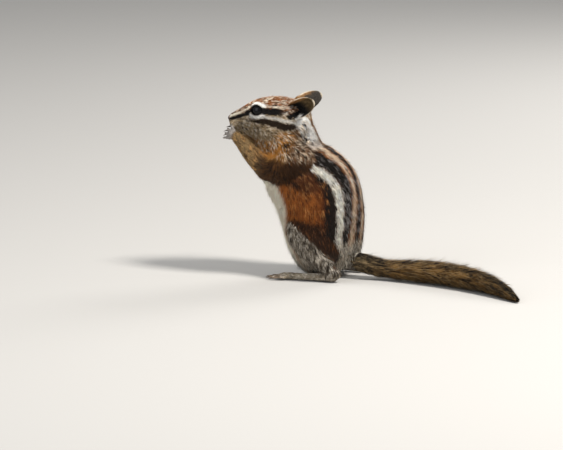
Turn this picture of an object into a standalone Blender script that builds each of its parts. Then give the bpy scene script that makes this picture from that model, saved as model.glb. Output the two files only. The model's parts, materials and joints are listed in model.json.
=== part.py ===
"""A least chipmunk sitting up to feed, life size, as a still museum model.

The animal faces -X with its left side towards -Y, and +Z is up. Tables and named
sizes are in millimetres, and MM turns them into the scene's metres. The outline of
every form is that of the coat, because short fur isn't modelled in these solids.
"""

import math
import random

import bmesh
import bpy
import numpy as np
from mathutils import Matrix, Vector
from mathutils.bvhtree import BVHTree

MM = 0.001
GAP = 0.3  # left between pieces that touch
SIDES = (("left", -1), ("right", 1))
BIG = 200.0  # side of a cutting block, larger than the animal
ANIMAL = "chipmunk"  # the collection of the finished nodes
CUTTERS = "cutters"  # the collection of working pieces, empty when the model is built

# Trunk sections from the rump up to the nape, in the animal's mid plane: centre x,
# centre z, reach to the back, reach to the belly, half width, and the degrees that
# the section is turned about the spine, because the hips face away to the right.
TRUNK = (
    (7.0, 2.0, 8.0, 8.0, 9.0, 13.0),
    (4.6, 9.0, 13.8, 14.2, 15.0, 13.0),
    (2.6, 18.0, 16.9, 17.0, 16.8, 13.0),
    (1.2, 27.5, 18.4, 18.4, 17.4, 9.0),
    (-1.6, 36.5, 19.3, 18.8, 16.8, 2.0),
    (-6.3, 44.4, 16.5, 18.8, 15.2, 0.0),
    (-11.2, 50.6, 12.1, 18.2, 13.6, 0.0),
    (-14.8, 56.2, 10.2, 16.6, 12.6, 0.0),
    (-17.4, 61.2, 10.4, 13.4, 12.0, 0.0),
    (-19.5, 65.2, 9.0, 9.5, 10.0, 0.0),
)
HIPS_TURN = math.radians(-5)
HIPS_AXIS = (4.6, 0.0, 0.0)  # the upright line that the hips, hind legs and tail turn about

# Head sections from the nose back, in the head's own frame, whose origin is the
# nose tip: distance behind the nose, centre height, reach up, reach down, half width.
HEAD = (
    (0.0, -0.2, 1.0, 1.1, 1.2),
    (1.0, -0.5, 2.2, 2.0, 2.1),
    (3.0, -0.9, 3.7, 3.3, 3.1),
    (6.0, -1.2, 5.6, 5.0, 4.4),
    (9.5, -1.4, 7.9, 7.3, 6.3),
    (13.5, -1.6, 9.7, 9.7, 8.3),
    (18.0, -1.9, 10.8, 10.8, 9.8),
    (23.0, -2.1, 11.0, 10.6, 10.4),
    (28.0, -2.3, 10.2, 10.0, 10.0),
    (33.0, -2.8, 8.2, 8.4, 8.6),
    (36.5, -3.4, 5.0, 5.0, 6.0),
)
NOSE_TIP = (-39.8, -6.2, 67.3)
HEAD_YAW = math.radians(12)  # the nose turns to the animal's left
HEAD_PITCH = math.radians(2)
HEAD_ROLL = math.radians(1)

# Fleshy masses of the face, for the left side: centre, radii, in the head's frame.
CHEEK = ((20.5, -5.6, -5.4), (7.6, 5.4, 5.6))
WHISKER_PAD = ((3.9, -1.9, -2.5), (3.3, 1.9, 2.0))
JAW = ((7.0, 0.0, -5.6), (5.2, 2.7, 2.3))
NOSE_PAD = ((0.6, 0.0, -0.1), (1.1, 1.5, 1.2))
NOSTRIL = ((0.15, -0.95, 0.0), (0.75, 0.42, 0.32))

EYE_RADIUS = 3.2
EYE_CENTRE = (14.6, -5.0, 3.5)  # left eye, in the head's frame
EYE_AXIS = (-0.42, -0.88, 0.2)
LID = 0.6  # thickness of the eyelids
LID_OPENING = (2.85, 2.15)  # half length and half height
LID_TILT = math.radians(8)

# Left half of the mouth line, from the middle of the lip back to its corner.
MOUTH_LINE = (
    (0.2, 0.0, -2.6),
    (1.2, -1.2, -3.4),
    (2.8, -2.4, -4.2),
    (4.8, -3.2, -4.8),
    (6.8, -3.9, -5.9),
)
MOUTH_RADIUS = 0.34

EAR_BASE = (27.0, -7.6, 2.6)  # left ear, in the head's frame
EAR_TIP = (39.2, -12.4, 7.7)
EAR_FACES = (-0.42, -0.88, 0.1)  # the way the cup opens
EAR_HALF_WIDTH = 4.1
EAR_WIDEST = 0.45  # share of the length where the ear is widest
EAR_THICKNESS = 0.8
EAR_STEPS = 9
EAR_CURLS = (math.radians(100), math.radians(42))  # half turn of the cup at its base and its tip
EAR_ROOT = ((0.2, 0.0, -4.4), (3.4, 3.4, 2.2))  # the swelling behind the cup, in the ear's frame

# Left legs: points with their radii. The right legs are mirrored, and the right
# forearm reaches the mouth in its own way because the head is turned.
UPPER_ARM = ((-6.0, -8.4, 50.0, 7.4), (-13.0, -10.8, 47.6, 6.6), (-19.6, -12.2, 46.0, 4.9))
FOREARM = {
    "left": ((-19.6, -12.2, 46.0, 4.8), (-27.2, -12.2, 53.2, 3.9), (-33.4, -11.6, 59.6, 2.5)),
    "right": ((-19.6, 11.6, 46.6, 4.8), (-27.8, 7.0, 53.6, 3.9), (-34.4, 1.6, 59.6, 2.5)),
}
# Forepaws: wrist, where the finger tips reach, the way the palm faces.
FOREPAW = {
    "left": ((-33.4, -11.6, 59.6), (-41.2, -10.5, 63.2), (0.1, 1.0, -0.35)),
    "right": ((-34.4, 1.6, 59.6), (-42.0, -0.9, 64.2), (0.1, -1.0, -0.35)),
}
FINGERS = 4
FINGER_RADIUS = 0.85
FINGER_BEND = 0.8
CLAW_RADIUS = 0.4
CLAW_LENGTH = 1.5

THIGH = ((6.0, -9.0, 14.6, 9.0), (2.4, -11.4, 18.2, 9.0), (-3.9, -13.4, 20.6, 6.2))
THIGH_INNER = 3.0  # the thighs stop this far from the mid plane
SHANK = ((-3.6, -14.4, 18.0, 5.4), (4.0, -15.2, 11.4, 4.7), (12.0, -14.4, 4.6, 3.1))
FOOT = ((13.4, -14.4, 2.3, 2.5), (6.0, -15.0, 2.2, 2.4), (-2.0, -15.6, 2.0, 2.3), (-9.0, -16.2, 1.7, 2.2))
FOOT_WIDEN = 1.25
TOES = 5
TOE_LENGTH = 7.6
TOE_RADIUS = 0.95
TOE_SPREAD = math.radians(11)

# Tail: where it leaves the rump, and how its heading turns on the floor.
TAIL_ROOT = (12.0, 0.0, 7.6)
TAIL_LENGTH = 96.0
TAIL_FIRST_HEADING = math.radians(6)
TAIL_LAST_HEADING = math.radians(-50)
TAIL_COAT = (4.0, 4.6, 5.3, 5.7, 5.8, 5.5, 4.9, 3.7, 2.0)  # reach of the hair, evenly spaced
TAIL_CORE_SHARE = 0.5
TAIL_CUTS = (0.36, 0.68)  # where the tail is parted, as shares of its length
LOCK_LENGTH = 14.0
LOCK_HALF_WIDTH = 2.1
# Along a lock: share of its length, width as a share of LOCK_HALF_WIDTH, thickness.
LOCK_SECTIONS = ((0.0, 0.6, 0.8), (0.35, 1.0, 0.75), (0.75, 0.7, 0.55))
LOCKS_AROUND = 7
LOCK_ROWS = 13
LOCK_ROOTS = (0.07, 0.9)  # where the first and last rings of locks leave the core

FINE_VOXEL = 0.5
COARSE_VOXEL = 0.7
BODY_SMOOTHING = 12  # smoothing steps
LIMB_SMOOTHING = 8
HEAD_TRIANGLES = 2100  # triangles kept when a fused form is thinned
NECK_TRIANGLES = 300
TORSO_TRIANGLES = 900
LIMB_TRIANGLES = 360


def scaled(values):
    return Vector(values[:3]) * MM


def collection_named(name):
    """The scene's collection of this name, made when it is first asked for."""
    found = bpy.data.collections.get(name)
    if found is None:
        found = bpy.data.collections.new(name)
        bpy.context.scene.collection.children.link(found)
    return found


def new_object(name, mesh):
    """A working piece, or a cutter, until finish makes it a node."""
    obj = bpy.data.objects.new(name, mesh)
    collection_named(CUTTERS).objects.link(obj)
    return obj


def object_from(name, shape):
    """A new object that holds a bmesh, which is freed."""
    bmesh.ops.recalc_face_normals(shape, faces=shape.faces)
    mesh = bpy.data.meshes.new(name)
    shape.to_mesh(mesh)
    shape.free()
    return new_object(name, mesh)


def remove(objects):
    for obj in objects:
        bpy.data.objects.remove(obj)


def spline(rows, count):
    """Rows read as points of a smooth curve through them, at count even steps."""
    rows = np.array(rows, float)
    padded = np.vstack([2 * rows[0] - rows[1], rows, 2 * rows[-1] - rows[-2]])
    out = []
    for step in np.linspace(0, len(rows) - 1, count):
        i = min(int(step), len(rows) - 2)
        t = step - i
        p0, p1, p2, p3 = padded[i : i + 4]
        linear = (p2 - p0) * t
        square = (2 * p0 - 5 * p1 + 4 * p2 - p3) * t**2
        cube = (3 * p1 - p0 - 3 * p2 + p3) * t**3
        out.append(0.5 * (2 * p1 + linear + square + cube))
    return np.array(out)


def loft(name, rings):
    """A closed body through rings, each a list of points in order, with its ends capped."""
    shape = bmesh.new()
    made = [[shape.verts.new(point) for point in ring] for ring in rings]
    for low, high in zip(made, made[1:]):
        for i in range(len(low)):
            j = (i + 1) % len(low)
            shape.faces.new((low[i], low[j], high[j], high[i]))
    shape.faces.new(made[0])
    shape.faces.new(made[-1])
    return object_from(name, shape)


def tube(name, points, sides=16, rings=12, widen=1.0, end_steps=(0.25, 0.7, 0.94)):
    """A round-ended tube through points that each end in a radius. widen stretches it sideways."""
    rows = spline(points, rings)
    centres = rows[:, :3]
    along = np.gradient(centres, axis=0)
    along /= np.linalg.norm(along, axis=1)[:, None]
    first, last = rows[0, 3], rows[-1, 3]
    ends = []
    for share in end_steps:
        ends.append((share, math.sqrt(1 - share**2)))
    start = [(centres[0] - along[0] * first * s, first * c) for s, c in reversed(ends)]
    stop = [(centres[-1] + along[-1] * last * s, last * c) for s, c in ends]
    stations = [(c, along[0], r) for c, r in start]
    stations += list(zip(centres, along, rows[:, 3]))
    stations += [(c, along[-1], r) for c, r in stop]
    rings_made = []
    up = np.array((0.0, 0.0, 1.0))
    for centre, direction, radius in stations:
        side = np.cross(direction, up)
        side /= np.linalg.norm(side)
        rise = np.cross(side, direction)
        ring = []
        for i in range(sides):
            turn = 2 * math.pi * i / sides
            reach = side * math.cos(turn) * widen + rise * math.sin(turn)
            ring.append(Vector(centre + reach * radius) * MM)
        rings_made.append(ring)
    return loft(name, rings_made)


def ellipsoid(name, centre, radii, matrix=None, segments=32):
    shape = bmesh.new()
    bmesh.ops.create_uvsphere(shape, u_segments=segments, v_segments=segments // 2, radius=1)
    placed = Matrix.Translation(scaled(centre)) @ Matrix.Diagonal((*scaled(radii), 1))
    bmesh.ops.transform(shape, matrix=(matrix or Matrix()) @ placed, verts=shape.verts)
    return object_from(name, shape)


def beyond(name, point, normal, gap=0.0):
    """A large block that starts at a plane, gap beyond point, and fills the side that normal points to."""
    turn = Vector(normal).to_track_quat("Z", "Y").to_matrix().to_4x4()
    shape = bmesh.new()
    bmesh.ops.create_cube(shape, size=BIG * MM)
    lift = Matrix.Translation(Vector((0, 0, (BIG / 2 + gap) * MM)))
    placed = Matrix.Translation(scaled(point)) @ turn @ lift
    bmesh.ops.transform(shape, matrix=placed, verts=shape.verts)
    return object_from(name, shape)


def on_hips(values):
    """A table entry turned with the hips."""
    turn = Matrix.Rotation(HIPS_TURN, 3, "Z")
    place = turn @ (Vector(values[:3]) - Vector(HIPS_AXIS)) + Vector(HIPS_AXIS)
    return (*place, *values[3:])


def mirrored(values, sign):
    """A table entry for the left side, or its mirror image for the right."""
    return (values[0], -sign * values[1], *values[2:])


def copy_of(obj, name):
    return new_object(name, obj.data.copy())


def settle(obj):
    """Applies the object's modifiers."""
    graph = bpy.context.evaluated_depsgraph_get()
    mesh = bpy.data.meshes.new_from_object(obj.evaluated_get(graph))
    obj.modifiers.clear()
    obj.data = mesh
    return obj


def join(name, pieces):
    """The pieces as one mesh of several bodies, which a voxel remesh then fuses."""
    shape = bmesh.new()
    for piece in pieces:
        shape.from_mesh(piece.data)
    remove(pieces)
    mesh = bpy.data.meshes.new(name)
    shape.to_mesh(mesh)
    shape.free()
    return new_object(name, mesh)


def fused(name, pieces, voxel, smoothing):
    """The pieces fused into one soft skin, their creases rounded by smoothing."""
    obj = join(name, pieces)
    remesh = obj.modifiers.new("fuse", "REMESH")
    remesh.mode = "VOXEL"
    remesh.voxel_size = voxel * MM
    smooth = obj.modifiers.new("soften", "SMOOTH")
    smooth.factor = 0.5
    smooth.iterations = smoothing
    return settle(obj)


def thinned(obj, triangles):
    """The object with its triangles collapsed to about this many."""
    shape = bmesh.new()
    shape.from_mesh(obj.data)
    bmesh.ops.triangulate(shape, faces=shape.faces)
    shape.to_mesh(obj.data)
    shape.free()
    collapse = obj.modifiers.new("thin", "DECIMATE")
    collapse.ratio = min(1.0, triangles / len(obj.data.polygons))
    collapse.use_collapse_triangulate = True
    return settle(obj)


def combine(obj, others, operation):
    """Unites obj with the others, or cuts it by them, and removes them."""
    pieces = collection_named("operands")
    for other in others:
        pieces.objects.link(other)
    modifier = obj.modifiers.new(operation.lower(), "BOOLEAN")
    modifier.operand_type = "COLLECTION"
    modifier.collection = pieces
    modifier.operation = operation
    modifier.solver = "MANIFOLD"
    settle(obj)
    remove(others)
    bpy.data.collections.remove(pieces)
    return obj


def unite(obj, others):
    return combine(obj, others, "UNION")


def cut(obj, others):
    for other in others:
        combine(obj, [other], "DIFFERENCE")
    return obj


def keep(obj, block_kept):
    return combine(obj, [block_kept], "INTERSECT")


def grown(obj, reach=GAP):
    """A copy of obj whose surface stands reach outside it, for cutting what surrounds it."""
    copy = copy_of(obj, obj.name + "_grown")
    shape = bmesh.new()
    shape.from_mesh(copy.data)
    shape.normal_update()
    moves = [(v, v.normal * v.calc_shell_factor() * reach * MM) for v in shape.verts]
    for vert, move in moves:
        vert.co += move
    shape.to_mesh(copy.data)
    shape.free()
    return copy


def largest(obj):
    """Drops all but the largest closed surface."""
    shape = bmesh.new()
    shape.from_mesh(obj.data)
    left = set(shape.verts)
    bodies = []
    while left:
        front = [left.pop()]
        body = set(front)
        while front:
            vert = front.pop()
            for edge in vert.link_edges:
                other = edge.other_vert(vert)
                if other in left:
                    left.remove(other)
                    body.add(other)
                    front.append(other)
        bodies.append(body)
    bodies.sort(key=len)
    for body in bodies[:-1]:
        bmesh.ops.delete(shape, geom=list(body), context="VERTS")
    shape.to_mesh(obj.data)
    shape.free()
    return obj


def finish(obj, name, colour, roughness=0.8):
    """Names a node, gives it its material and shades it smooth."""
    largest(obj)
    collection_named(CUTTERS).objects.unlink(obj)
    collection_named(ANIMAL).objects.link(obj)
    obj.name = name
    obj.data.name = name
    material = bpy.data.materials.new(name)
    material.use_nodes = True
    shader = material.node_tree.nodes["Principled BSDF"]
    shader.inputs["Base Color"].default_value = (*colour, 1)
    shader.inputs["Roughness"].default_value = roughness
    obj.data.materials.clear()
    obj.data.materials.append(material)
    obj.data.shade_smooth()
    obj.data.set_sharp_from_angle(angle=math.radians(50))
    return obj


def head_matrix():
    turn = (
        Matrix.Rotation(HEAD_YAW, 4, "Z")
        @ Matrix.Rotation(-HEAD_PITCH, 4, "Y")
        @ Matrix.Rotation(HEAD_ROLL, 4, "X")
    )
    return Matrix.Translation(scaled(NOSE_TIP)) @ turn


HEAD_PLACE = head_matrix()


def ring_of(centre_to_point, sides=32):
    return [centre_to_point(2 * math.pi * i / sides) for i in range(sides)]


def trunk_form():
    """The torso and neck as one loft. Each ring stands square to the spine."""
    rows = spline(TRUNK, 40)
    along = np.gradient(rows[:, :2], axis=0)
    along /= np.linalg.norm(along, axis=1)[:, None]
    rings = []
    for (x, z, back, belly, width, degrees), (dx, dz) in zip(rows, along):
        twist = math.radians(degrees)

        def point(turn):
            reach = math.cos(turn) * (back if math.cos(turn) > 0 else belly)
            aside = width * math.sin(turn)
            out = reach * math.cos(twist) + aside * math.sin(twist)
            y = aside * math.cos(twist) - reach * math.sin(twist)
            return scaled((x + out * dz, y, z - out * dx))

        rings.append(ring_of(point))
    return loft("trunk_form", rings)


def head_form():
    rings = []
    for x, z, up, down, width in spline(HEAD, 40):

        def point(turn):
            reach = math.cos(turn) * (up if math.cos(turn) > 0 else down)
            return scaled((x, width * math.sin(turn), z + reach))

        rings.append(ring_of(point))
    form = loft("head_form", rings)
    form.data.transform(HEAD_PLACE)
    return form


def face_masses():
    """Cheeks, lids, whisker pads, jaw and nose pad, which fuse with the head."""
    pieces = [
        ellipsoid("jaw_form", *JAW, HEAD_PLACE),
        ellipsoid("nose_pad_form", *NOSE_PAD, HEAD_PLACE),
    ]
    for side, sign in SIDES:
        for centre, radii in (CHEEK, WHISKER_PAD):
            pieces.append(ellipsoid("mass_" + side, mirrored(centre, sign), radii, HEAD_PLACE))
        lid_radius = EYE_RADIUS + GAP + LID
        pieces.append(ellipsoid("lid_" + side, (0, 0, 0), (lid_radius,) * 3, eye_frame(sign)))
    return pieces


HEAD_CUT = ((-13.6, 0.0, 61.4), (-0.68, -0.05, 0.73))  # a point of the plane behind the jaw, and its normal
NECK_CUT = ((-9.5, 0.0, 50.5), (-0.56, 0.0, 0.83))


def body_nodes():
    """Head, neck and torso: one fused form, parted by thin flat cuts."""
    core = fused("core", [trunk_form(), head_form(), *face_masses()], FINE_VOXEL, BODY_SMOOTHING)
    head = keep(copy_of(core, "head_raw"), beyond("head_side", *HEAD_CUT, gap=GAP / 2))
    neck = cut(
        copy_of(core, "neck_raw"),
        [
            beyond("head_side", *HEAD_CUT, gap=-GAP / 2),
            beyond("torso_side", NECK_CUT[0], Vector(NECK_CUT[1]) * -1, gap=-GAP / 2),
        ],
    )
    torso = cut(core, [beyond("neck_side", *NECK_CUT, gap=-GAP / 2)])
    thinned(largest(head), HEAD_TRIANGLES)
    thinned(largest(neck), NECK_TRIANGLES)
    thinned(largest(torso), TORSO_TRIANGLES)
    return head, neck, torso


def eye_frame(sign):
    """The left eye's place and axes, or the right one's: +Z looks out, +X runs along the lids."""
    axis = Vector(mirrored(EYE_AXIS, sign)).normalized()
    along = Vector((1, 0, 0)) - axis * axis.x
    along.normalize()
    across = axis.cross(along)
    turn = Matrix((along, across, axis)).transposed().to_4x4()
    tilt = Matrix.Rotation(LID_TILT * sign, 4, "Z")
    return HEAD_PLACE @ Matrix.Translation(scaled(mirrored(EYE_CENTRE, sign))) @ turn @ tilt


def eye_node(side, sign):
    eye = ellipsoid("eye", (0, 0, 0), (EYE_RADIUS,) * 3, eye_frame(sign), segments=18)
    return finish(eye, "eye_" + side, (0.01, 0.008, 0.007), 0.05)


def lid_opening(sign):
    """An elliptic prism, which cuts the opening between the lids."""
    shape = bmesh.new()
    bmesh.ops.create_cone(
        shape, cap_ends=True, segments=20, radius1=1, radius2=1, depth=1
    )
    long, high = LID_OPENING
    reach = 2 * EYE_RADIUS
    grow = Matrix.Diagonal((*scaled((long, high, reach)), 1))
    lift = Matrix.Translation(scaled((0, 0, reach / 2)))
    bmesh.ops.transform(shape, matrix=eye_frame(sign) @ lift @ grow, verts=shape.verts)
    return object_from("lid_opening", shape)


def mouth_cutters(head):
    """The mouth line and the groove under the nose, laid on the head's surface."""
    surface = BVHTree.FromObject(head, bpy.context.evaluated_depsgraph_get())
    cutters = []
    lines = [[mirrored(p, sign) for p in MOUTH_LINE] for _, sign in SIDES]
    lines.append([(-0.6, 0.0, -1.0), (-0.2, 0.0, -1.8), MOUTH_LINE[0]])
    for line in lines:
        points = []
        for row in spline(line, 10):
            place, _, _, _ = surface.find_nearest(HEAD_PLACE @ scaled(row))
            points.append((*(place / MM), MOUTH_RADIUS))
        cutters.append(tube("mouth_line", points, sides=6, rings=8, end_steps=(0.7,)))
    return cutters


def head_features(head):
    cutters = mouth_cutters(head)
    for _, sign in SIDES:
        cutters.append(
            ellipsoid("socket", (0, 0, 0), (EYE_RADIUS + GAP,) * 3, eye_frame(sign), segments=18)
        )
        cutters.append(lid_opening(sign))
        cutters.append(
            ellipsoid("nostril", mirrored(NOSTRIL[0], sign), NOSTRIL[1], HEAD_PLACE, segments=12)
        )
    return cut(head, cutters)


def ear_frame(sign):
    """+X runs from the root to the tip, +Z is the way the cup opens."""
    base, tip = Vector(mirrored(EAR_BASE, sign)), Vector(mirrored(EAR_TIP, sign))
    along = (tip - base).normalized()
    faces = Vector(mirrored(EAR_FACES, sign))
    faces = (faces - along * faces.dot(along)).normalized()
    turn = Matrix((along, faces.cross(along), faces)).transposed().to_4x4()
    return HEAD_PLACE @ Matrix.Translation(base * MM) @ turn, (tip - base).length


def ear_node(side, sign, head):
    """A curled leaf of even thickness on a swelling that is cut to fit the head."""
    frame, length = ear_frame(sign)
    shape = bmesh.new()
    rows = []
    for angle in np.linspace(-math.radians(52), math.radians(84), EAR_STEPS + 1):
        along = EAR_WIDEST + (1 - EAR_WIDEST) * math.sin(angle)
        width = EAR_HALF_WIDTH * math.cos(angle)
        curl = EAR_CURLS[0] + (EAR_CURLS[1] - EAR_CURLS[0]) * along
        radius = width / math.sin(min(curl, math.pi / 2))
        row = []
        for j in range(EAR_STEPS + 1):
            turn = curl * (2 * j / EAR_STEPS - 1)
            deep = radius * (math.cos(turn) - math.cos(curl))
            row.append(
                shape.verts.new(
                    frame
                    @ scaled((along * length, radius * math.sin(turn), -deep * 0.9))
                )
            )
        rows.append(row)
    for low, high in zip(rows, rows[1:]):
        for j in range(EAR_STEPS):
            shape.faces.new((low[j], low[j + 1], high[j + 1], high[j]))
    leaf = object_from("ear_leaf", shape)
    shell = leaf.modifiers.new("thickness", "SOLIDIFY")
    shell.thickness = EAR_THICKNESS * MM
    shell.offset = 0
    settle(leaf)
    root = ellipsoid("ear_root", *EAR_ROOT, frame, segments=12)
    unite(leaf, [root])
    cut(leaf, [grown(head)])
    return finish(leaf, "ear_" + side, (0.36, 0.24, 0.13))


def foreleg_node(side, sign):
    upper = [mirrored(p, sign) for p in UPPER_ARM]
    pieces = [tube("upper_arm", upper), tube("forearm", FOREARM[side])]
    leg = thinned(fused("foreleg", pieces, COARSE_VOXEL, LIMB_SMOOTHING), LIMB_TRIANGLES)
    wrist, tips, _ = FOREPAW[side]
    along = Vector(tips) - Vector(wrist)
    return cut(leg, [beyond("wrist", wrist, along, gap=-GAP / 2)])


def digit(name, root, along, bend, length, radius, sides=6):
    """A finger or toe that bends as it goes, with a claw at its tip. Returns its pieces."""
    root, along, bend = Vector(root), Vector(along).normalized(), Vector(bend)
    points = []
    for share in (0.0, 0.35, 0.7, 1.0):
        place = root + along * length * share + bend * length * share**2
        points.append((*place, radius * (1.05 - 0.3 * share)))
    tip = Vector(points[-1][:3])
    way = (tip - Vector(points[-2][:3])).normalized()
    claw = []
    for share in (0.0, 0.5, 1.0):
        reach = CLAW_LENGTH * share
        place = tip + way * reach + bend.normalized() * 0.3 * reach * share
        claw.append((*place, CLAW_RADIUS * (1.05 - 0.75 * share)))
    return [
        tube(name, points, sides=sides, rings=4, end_steps=(0.75,)),
        tube(name + "_claw", claw, sides=5, rings=3, end_steps=(0.8,)),
    ]


def forepaw_node(side, sign):
    """A small hand: a palm, four fingers bent round what it holds, and the stub of a thumb."""
    wrist, tips, palm_way = (Vector(v) for v in FOREPAW[side])
    along = (tips - wrist).normalized()
    palm_way = (palm_way - along * palm_way.dot(along)).normalized()
    across = along.cross(palm_way) * -sign
    length = (tips - wrist).length
    knuckles = wrist + along * length * 0.42
    palm = tube(
        "palm",
        [
            (*(wrist - along * 0.6), 2.3),
            (*(wrist + along * length * 0.2), 2.2),
            (*knuckles, 2.0),
        ],
        sides=12,
        rings=5,
        end_steps=(0.6, 0.9),
    )
    pieces = []
    for i in range(FINGERS):
        place = i - (FINGERS - 1) / 2
        root = knuckles + across * place * 1.15 - along * 0.8
        way = along + across * place * 0.2
        bend = palm_way * FINGER_BEND
        reach = length * (0.56 - 0.05 * abs(place))
        pieces += digit("finger", root, way, bend, reach, FINGER_RADIUS)
    thumb_root = wrist + along * 2.0 - across * 1.6 + palm_way * 0.6
    pieces.append(
        tube(
            "thumb",
            [(*thumb_root, 0.7), (*(thumb_root + along * 1.2 + palm_way * 0.6), 0.5)],
            sides=6,
            rings=3,
            end_steps=(0.75,),
        )
    )
    unite(palm, pieces)
    return cut(palm, [beyond("wrist", wrist, along * -1, gap=-GAP / 2)])


def hindleg_node(side, sign):
    pieces = [
        tube("thigh", [on_hips(mirrored(p, sign)) for p in THIGH]),
        tube("shank", [on_hips(mirrored(p, sign)) for p in SHANK]),
    ]
    leg = thinned(fused("hindleg", pieces, COARSE_VOXEL, LIMB_SMOOTHING), LIMB_TRIANGLES)
    inner = on_hips((HIPS_AXIS[0], sign * THIGH_INNER, 0))
    inward = Matrix.Rotation(HIPS_TURN, 3, "Z") @ Vector((0, -sign, 0))
    return cut(leg, [beyond("mid", inner, inward)])


def hindfoot_node(side, sign):
    """A long flat foot with five toes, its sole on the floor."""
    points = [on_hips(mirrored(p, sign)) for p in FOOT]
    sole = tube("foot", points, sides=12, rings=7, widen=FOOT_WIDEN, end_steps=(0.4, 0.85))
    ball, before = Vector(points[-1][:3]), Vector(points[-2][:3])
    along = (ball - before).normalized()
    across = Vector((0, 0, 1)).cross(along) * -sign
    pieces = []
    for i in range(TOES):
        place = i - (TOES - 1) / 2
        turn = Matrix.Rotation(-TOE_SPREAD * place * sign * -1, 3, "Z")
        way = turn @ along
        root = ball + across * place * -1.25 - along * 0.4 * abs(place) + Vector((0, 0, -0.6))
        way.z = 0.02
        reach = TOE_LENGTH * (1 - 0.09 * abs(place) ** 1.5)
        pieces += digit("toe", root, way, Vector((0, 0, -0.03)), reach, TOE_RADIUS)
    return unite(sole, pieces)


def tail_rows(count):
    """Points of the tail's centre line with the hair's reach: x, y, z, reach."""
    reaches = spline([(r,) for r in TAIL_COAT], count)[:, 0]
    x, y, z = on_hips(TAIL_ROOT)
    rows = []
    step = TAIL_LENGTH / (count - 1)
    for i, reach in enumerate(reaches):
        share = i / (count - 1)
        rest = 0.88 * reach - 0.25
        settled = min(1.0, share * 4.5)
        height = z + (rest - z) * (settled * settled * (3 - 2 * settled))
        rows.append((x, y, height, reach))
        heading = TAIL_FIRST_HEADING + (TAIL_LAST_HEADING - TAIL_FIRST_HEADING) * share
        x += step * math.cos(heading)
        y += step * math.sin(heading)
    return np.array(rows)


def lock(root, along, rise, length, width):
    """A flat tapered lock of hair. It leaves its root outwards and then lies back along the tail."""
    side = along.cross(rise).normalized()
    face = rise.normalized()
    shape = bmesh.new()

    def centre(share):
        return (root + along * length * share + rise * share * (1.6 - 0.6 * share)) * MM

    rings = []
    for share, wide, thick in LOCK_SECTIONS:
        reaches = ((wide * width, 0), (0, thick), (-wide * width, 0))
        rings.append([shape.verts.new(centre(share) + (side * a + face * b) * MM) for a, b in reaches])
    tip = shape.verts.new(centre(1.0))
    for low, high in zip(rings, rings[1:]):
        for i in range(3):
            j = (i + 1) % 3
            shape.faces.new((low[i], low[j], high[j], high[i]))
    for i in range(3):
        shape.faces.new((rings[-1][i], rings[-1][(i + 1) % 3], tip))
    shape.faces.new(rings[0])
    return object_from("lock", shape)


def tail_locks(rows):
    """Rings of overlapping locks from the rump to the tip, all swept back along the tail."""
    rng = random.Random(4)
    along = np.gradient(rows[:, :3], axis=0)
    along /= np.linalg.norm(along, axis=1)[:, None]
    pieces = []
    for row in range(LOCK_ROWS):
        share = LOCK_ROOTS[0] + (LOCK_ROOTS[1] - LOCK_ROOTS[0]) * row / (LOCK_ROWS - 1)
        at = share * (len(rows) - 1)
        i = min(int(at), len(rows) - 2)
        mix = at - i
        x, y, z, reach = rows[i] * (1 - mix) + rows[i + 1] * mix
        way = Vector(along[i] * (1 - mix) + along[i + 1] * mix).normalized()
        level = Vector((0, 0, 1)).cross(way).normalized()
        up = way.cross(level)
        around = LOCKS_AROUND if share < 0.85 else LOCKS_AROUND - 2
        for k in range(around):
            turn = 2 * math.pi * (k + 0.5 * (row % 2) + rng.uniform(-0.12, 0.12)) / around
            out = level * math.cos(turn) * 1.08 + up * math.sin(turn) * 0.94
            root = Vector((x, y, z)) + out * reach * TAIL_CORE_SHARE * 0.6
            rise = out * reach * (1 - TAIL_CORE_SHARE * 0.6) * rng.uniform(0.86, 1.02)
            length = LOCK_LENGTH * rng.uniform(0.88, 1.12) * (0.7 + 0.3 * reach / max(TAIL_COAT))
            width = LOCK_HALF_WIDTH * rng.uniform(0.85, 1.15) * (0.55 + 0.45 * reach / max(TAIL_COAT))
            pieces.append(lock(root, way, rise, length, width))
    return pieces


def tail_nodes(torso):
    rows = tail_rows(40)
    body = int(0.9 * len(rows))
    core_rows = [(x, y, z, reach * TAIL_CORE_SHARE) for x, y, z, reach in rows[:body]]
    whole = tube("tail_core", core_rows, sides=8, rings=20, widen=1.1, end_steps=(0.7,))
    unite(whole, tail_locks(rows))
    cut(whole, [grown(torso)])
    cuts = []
    for share in TAIL_CUTS:
        i = int(share * (len(rows) - 1))
        way = Vector(rows[i + 1, :3] - rows[i - 1, :3])
        cuts.append((tuple(rows[i, :3]), way))
    first = cut(copy_of(whole, "first"), [beyond("a", *cuts[0], gap=-GAP / 2)])
    last = keep(copy_of(whole, "last"), beyond("b", *cuts[1], gap=GAP / 2))
    middle = cut(
        whole,
        [
            beyond("c", cuts[0][0], cuts[0][1] * -1, gap=-GAP / 2),
            beyond("d", *cuts[1], gap=-GAP / 2),
        ],
    )
    return first, middle, last


def floor_cut(obj):
    """Trims what reaches below the floor, which leaves small flats at one level."""
    return cut(obj, [beyond("floor", (0, 0, 0), (0, 0, -1))])


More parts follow.
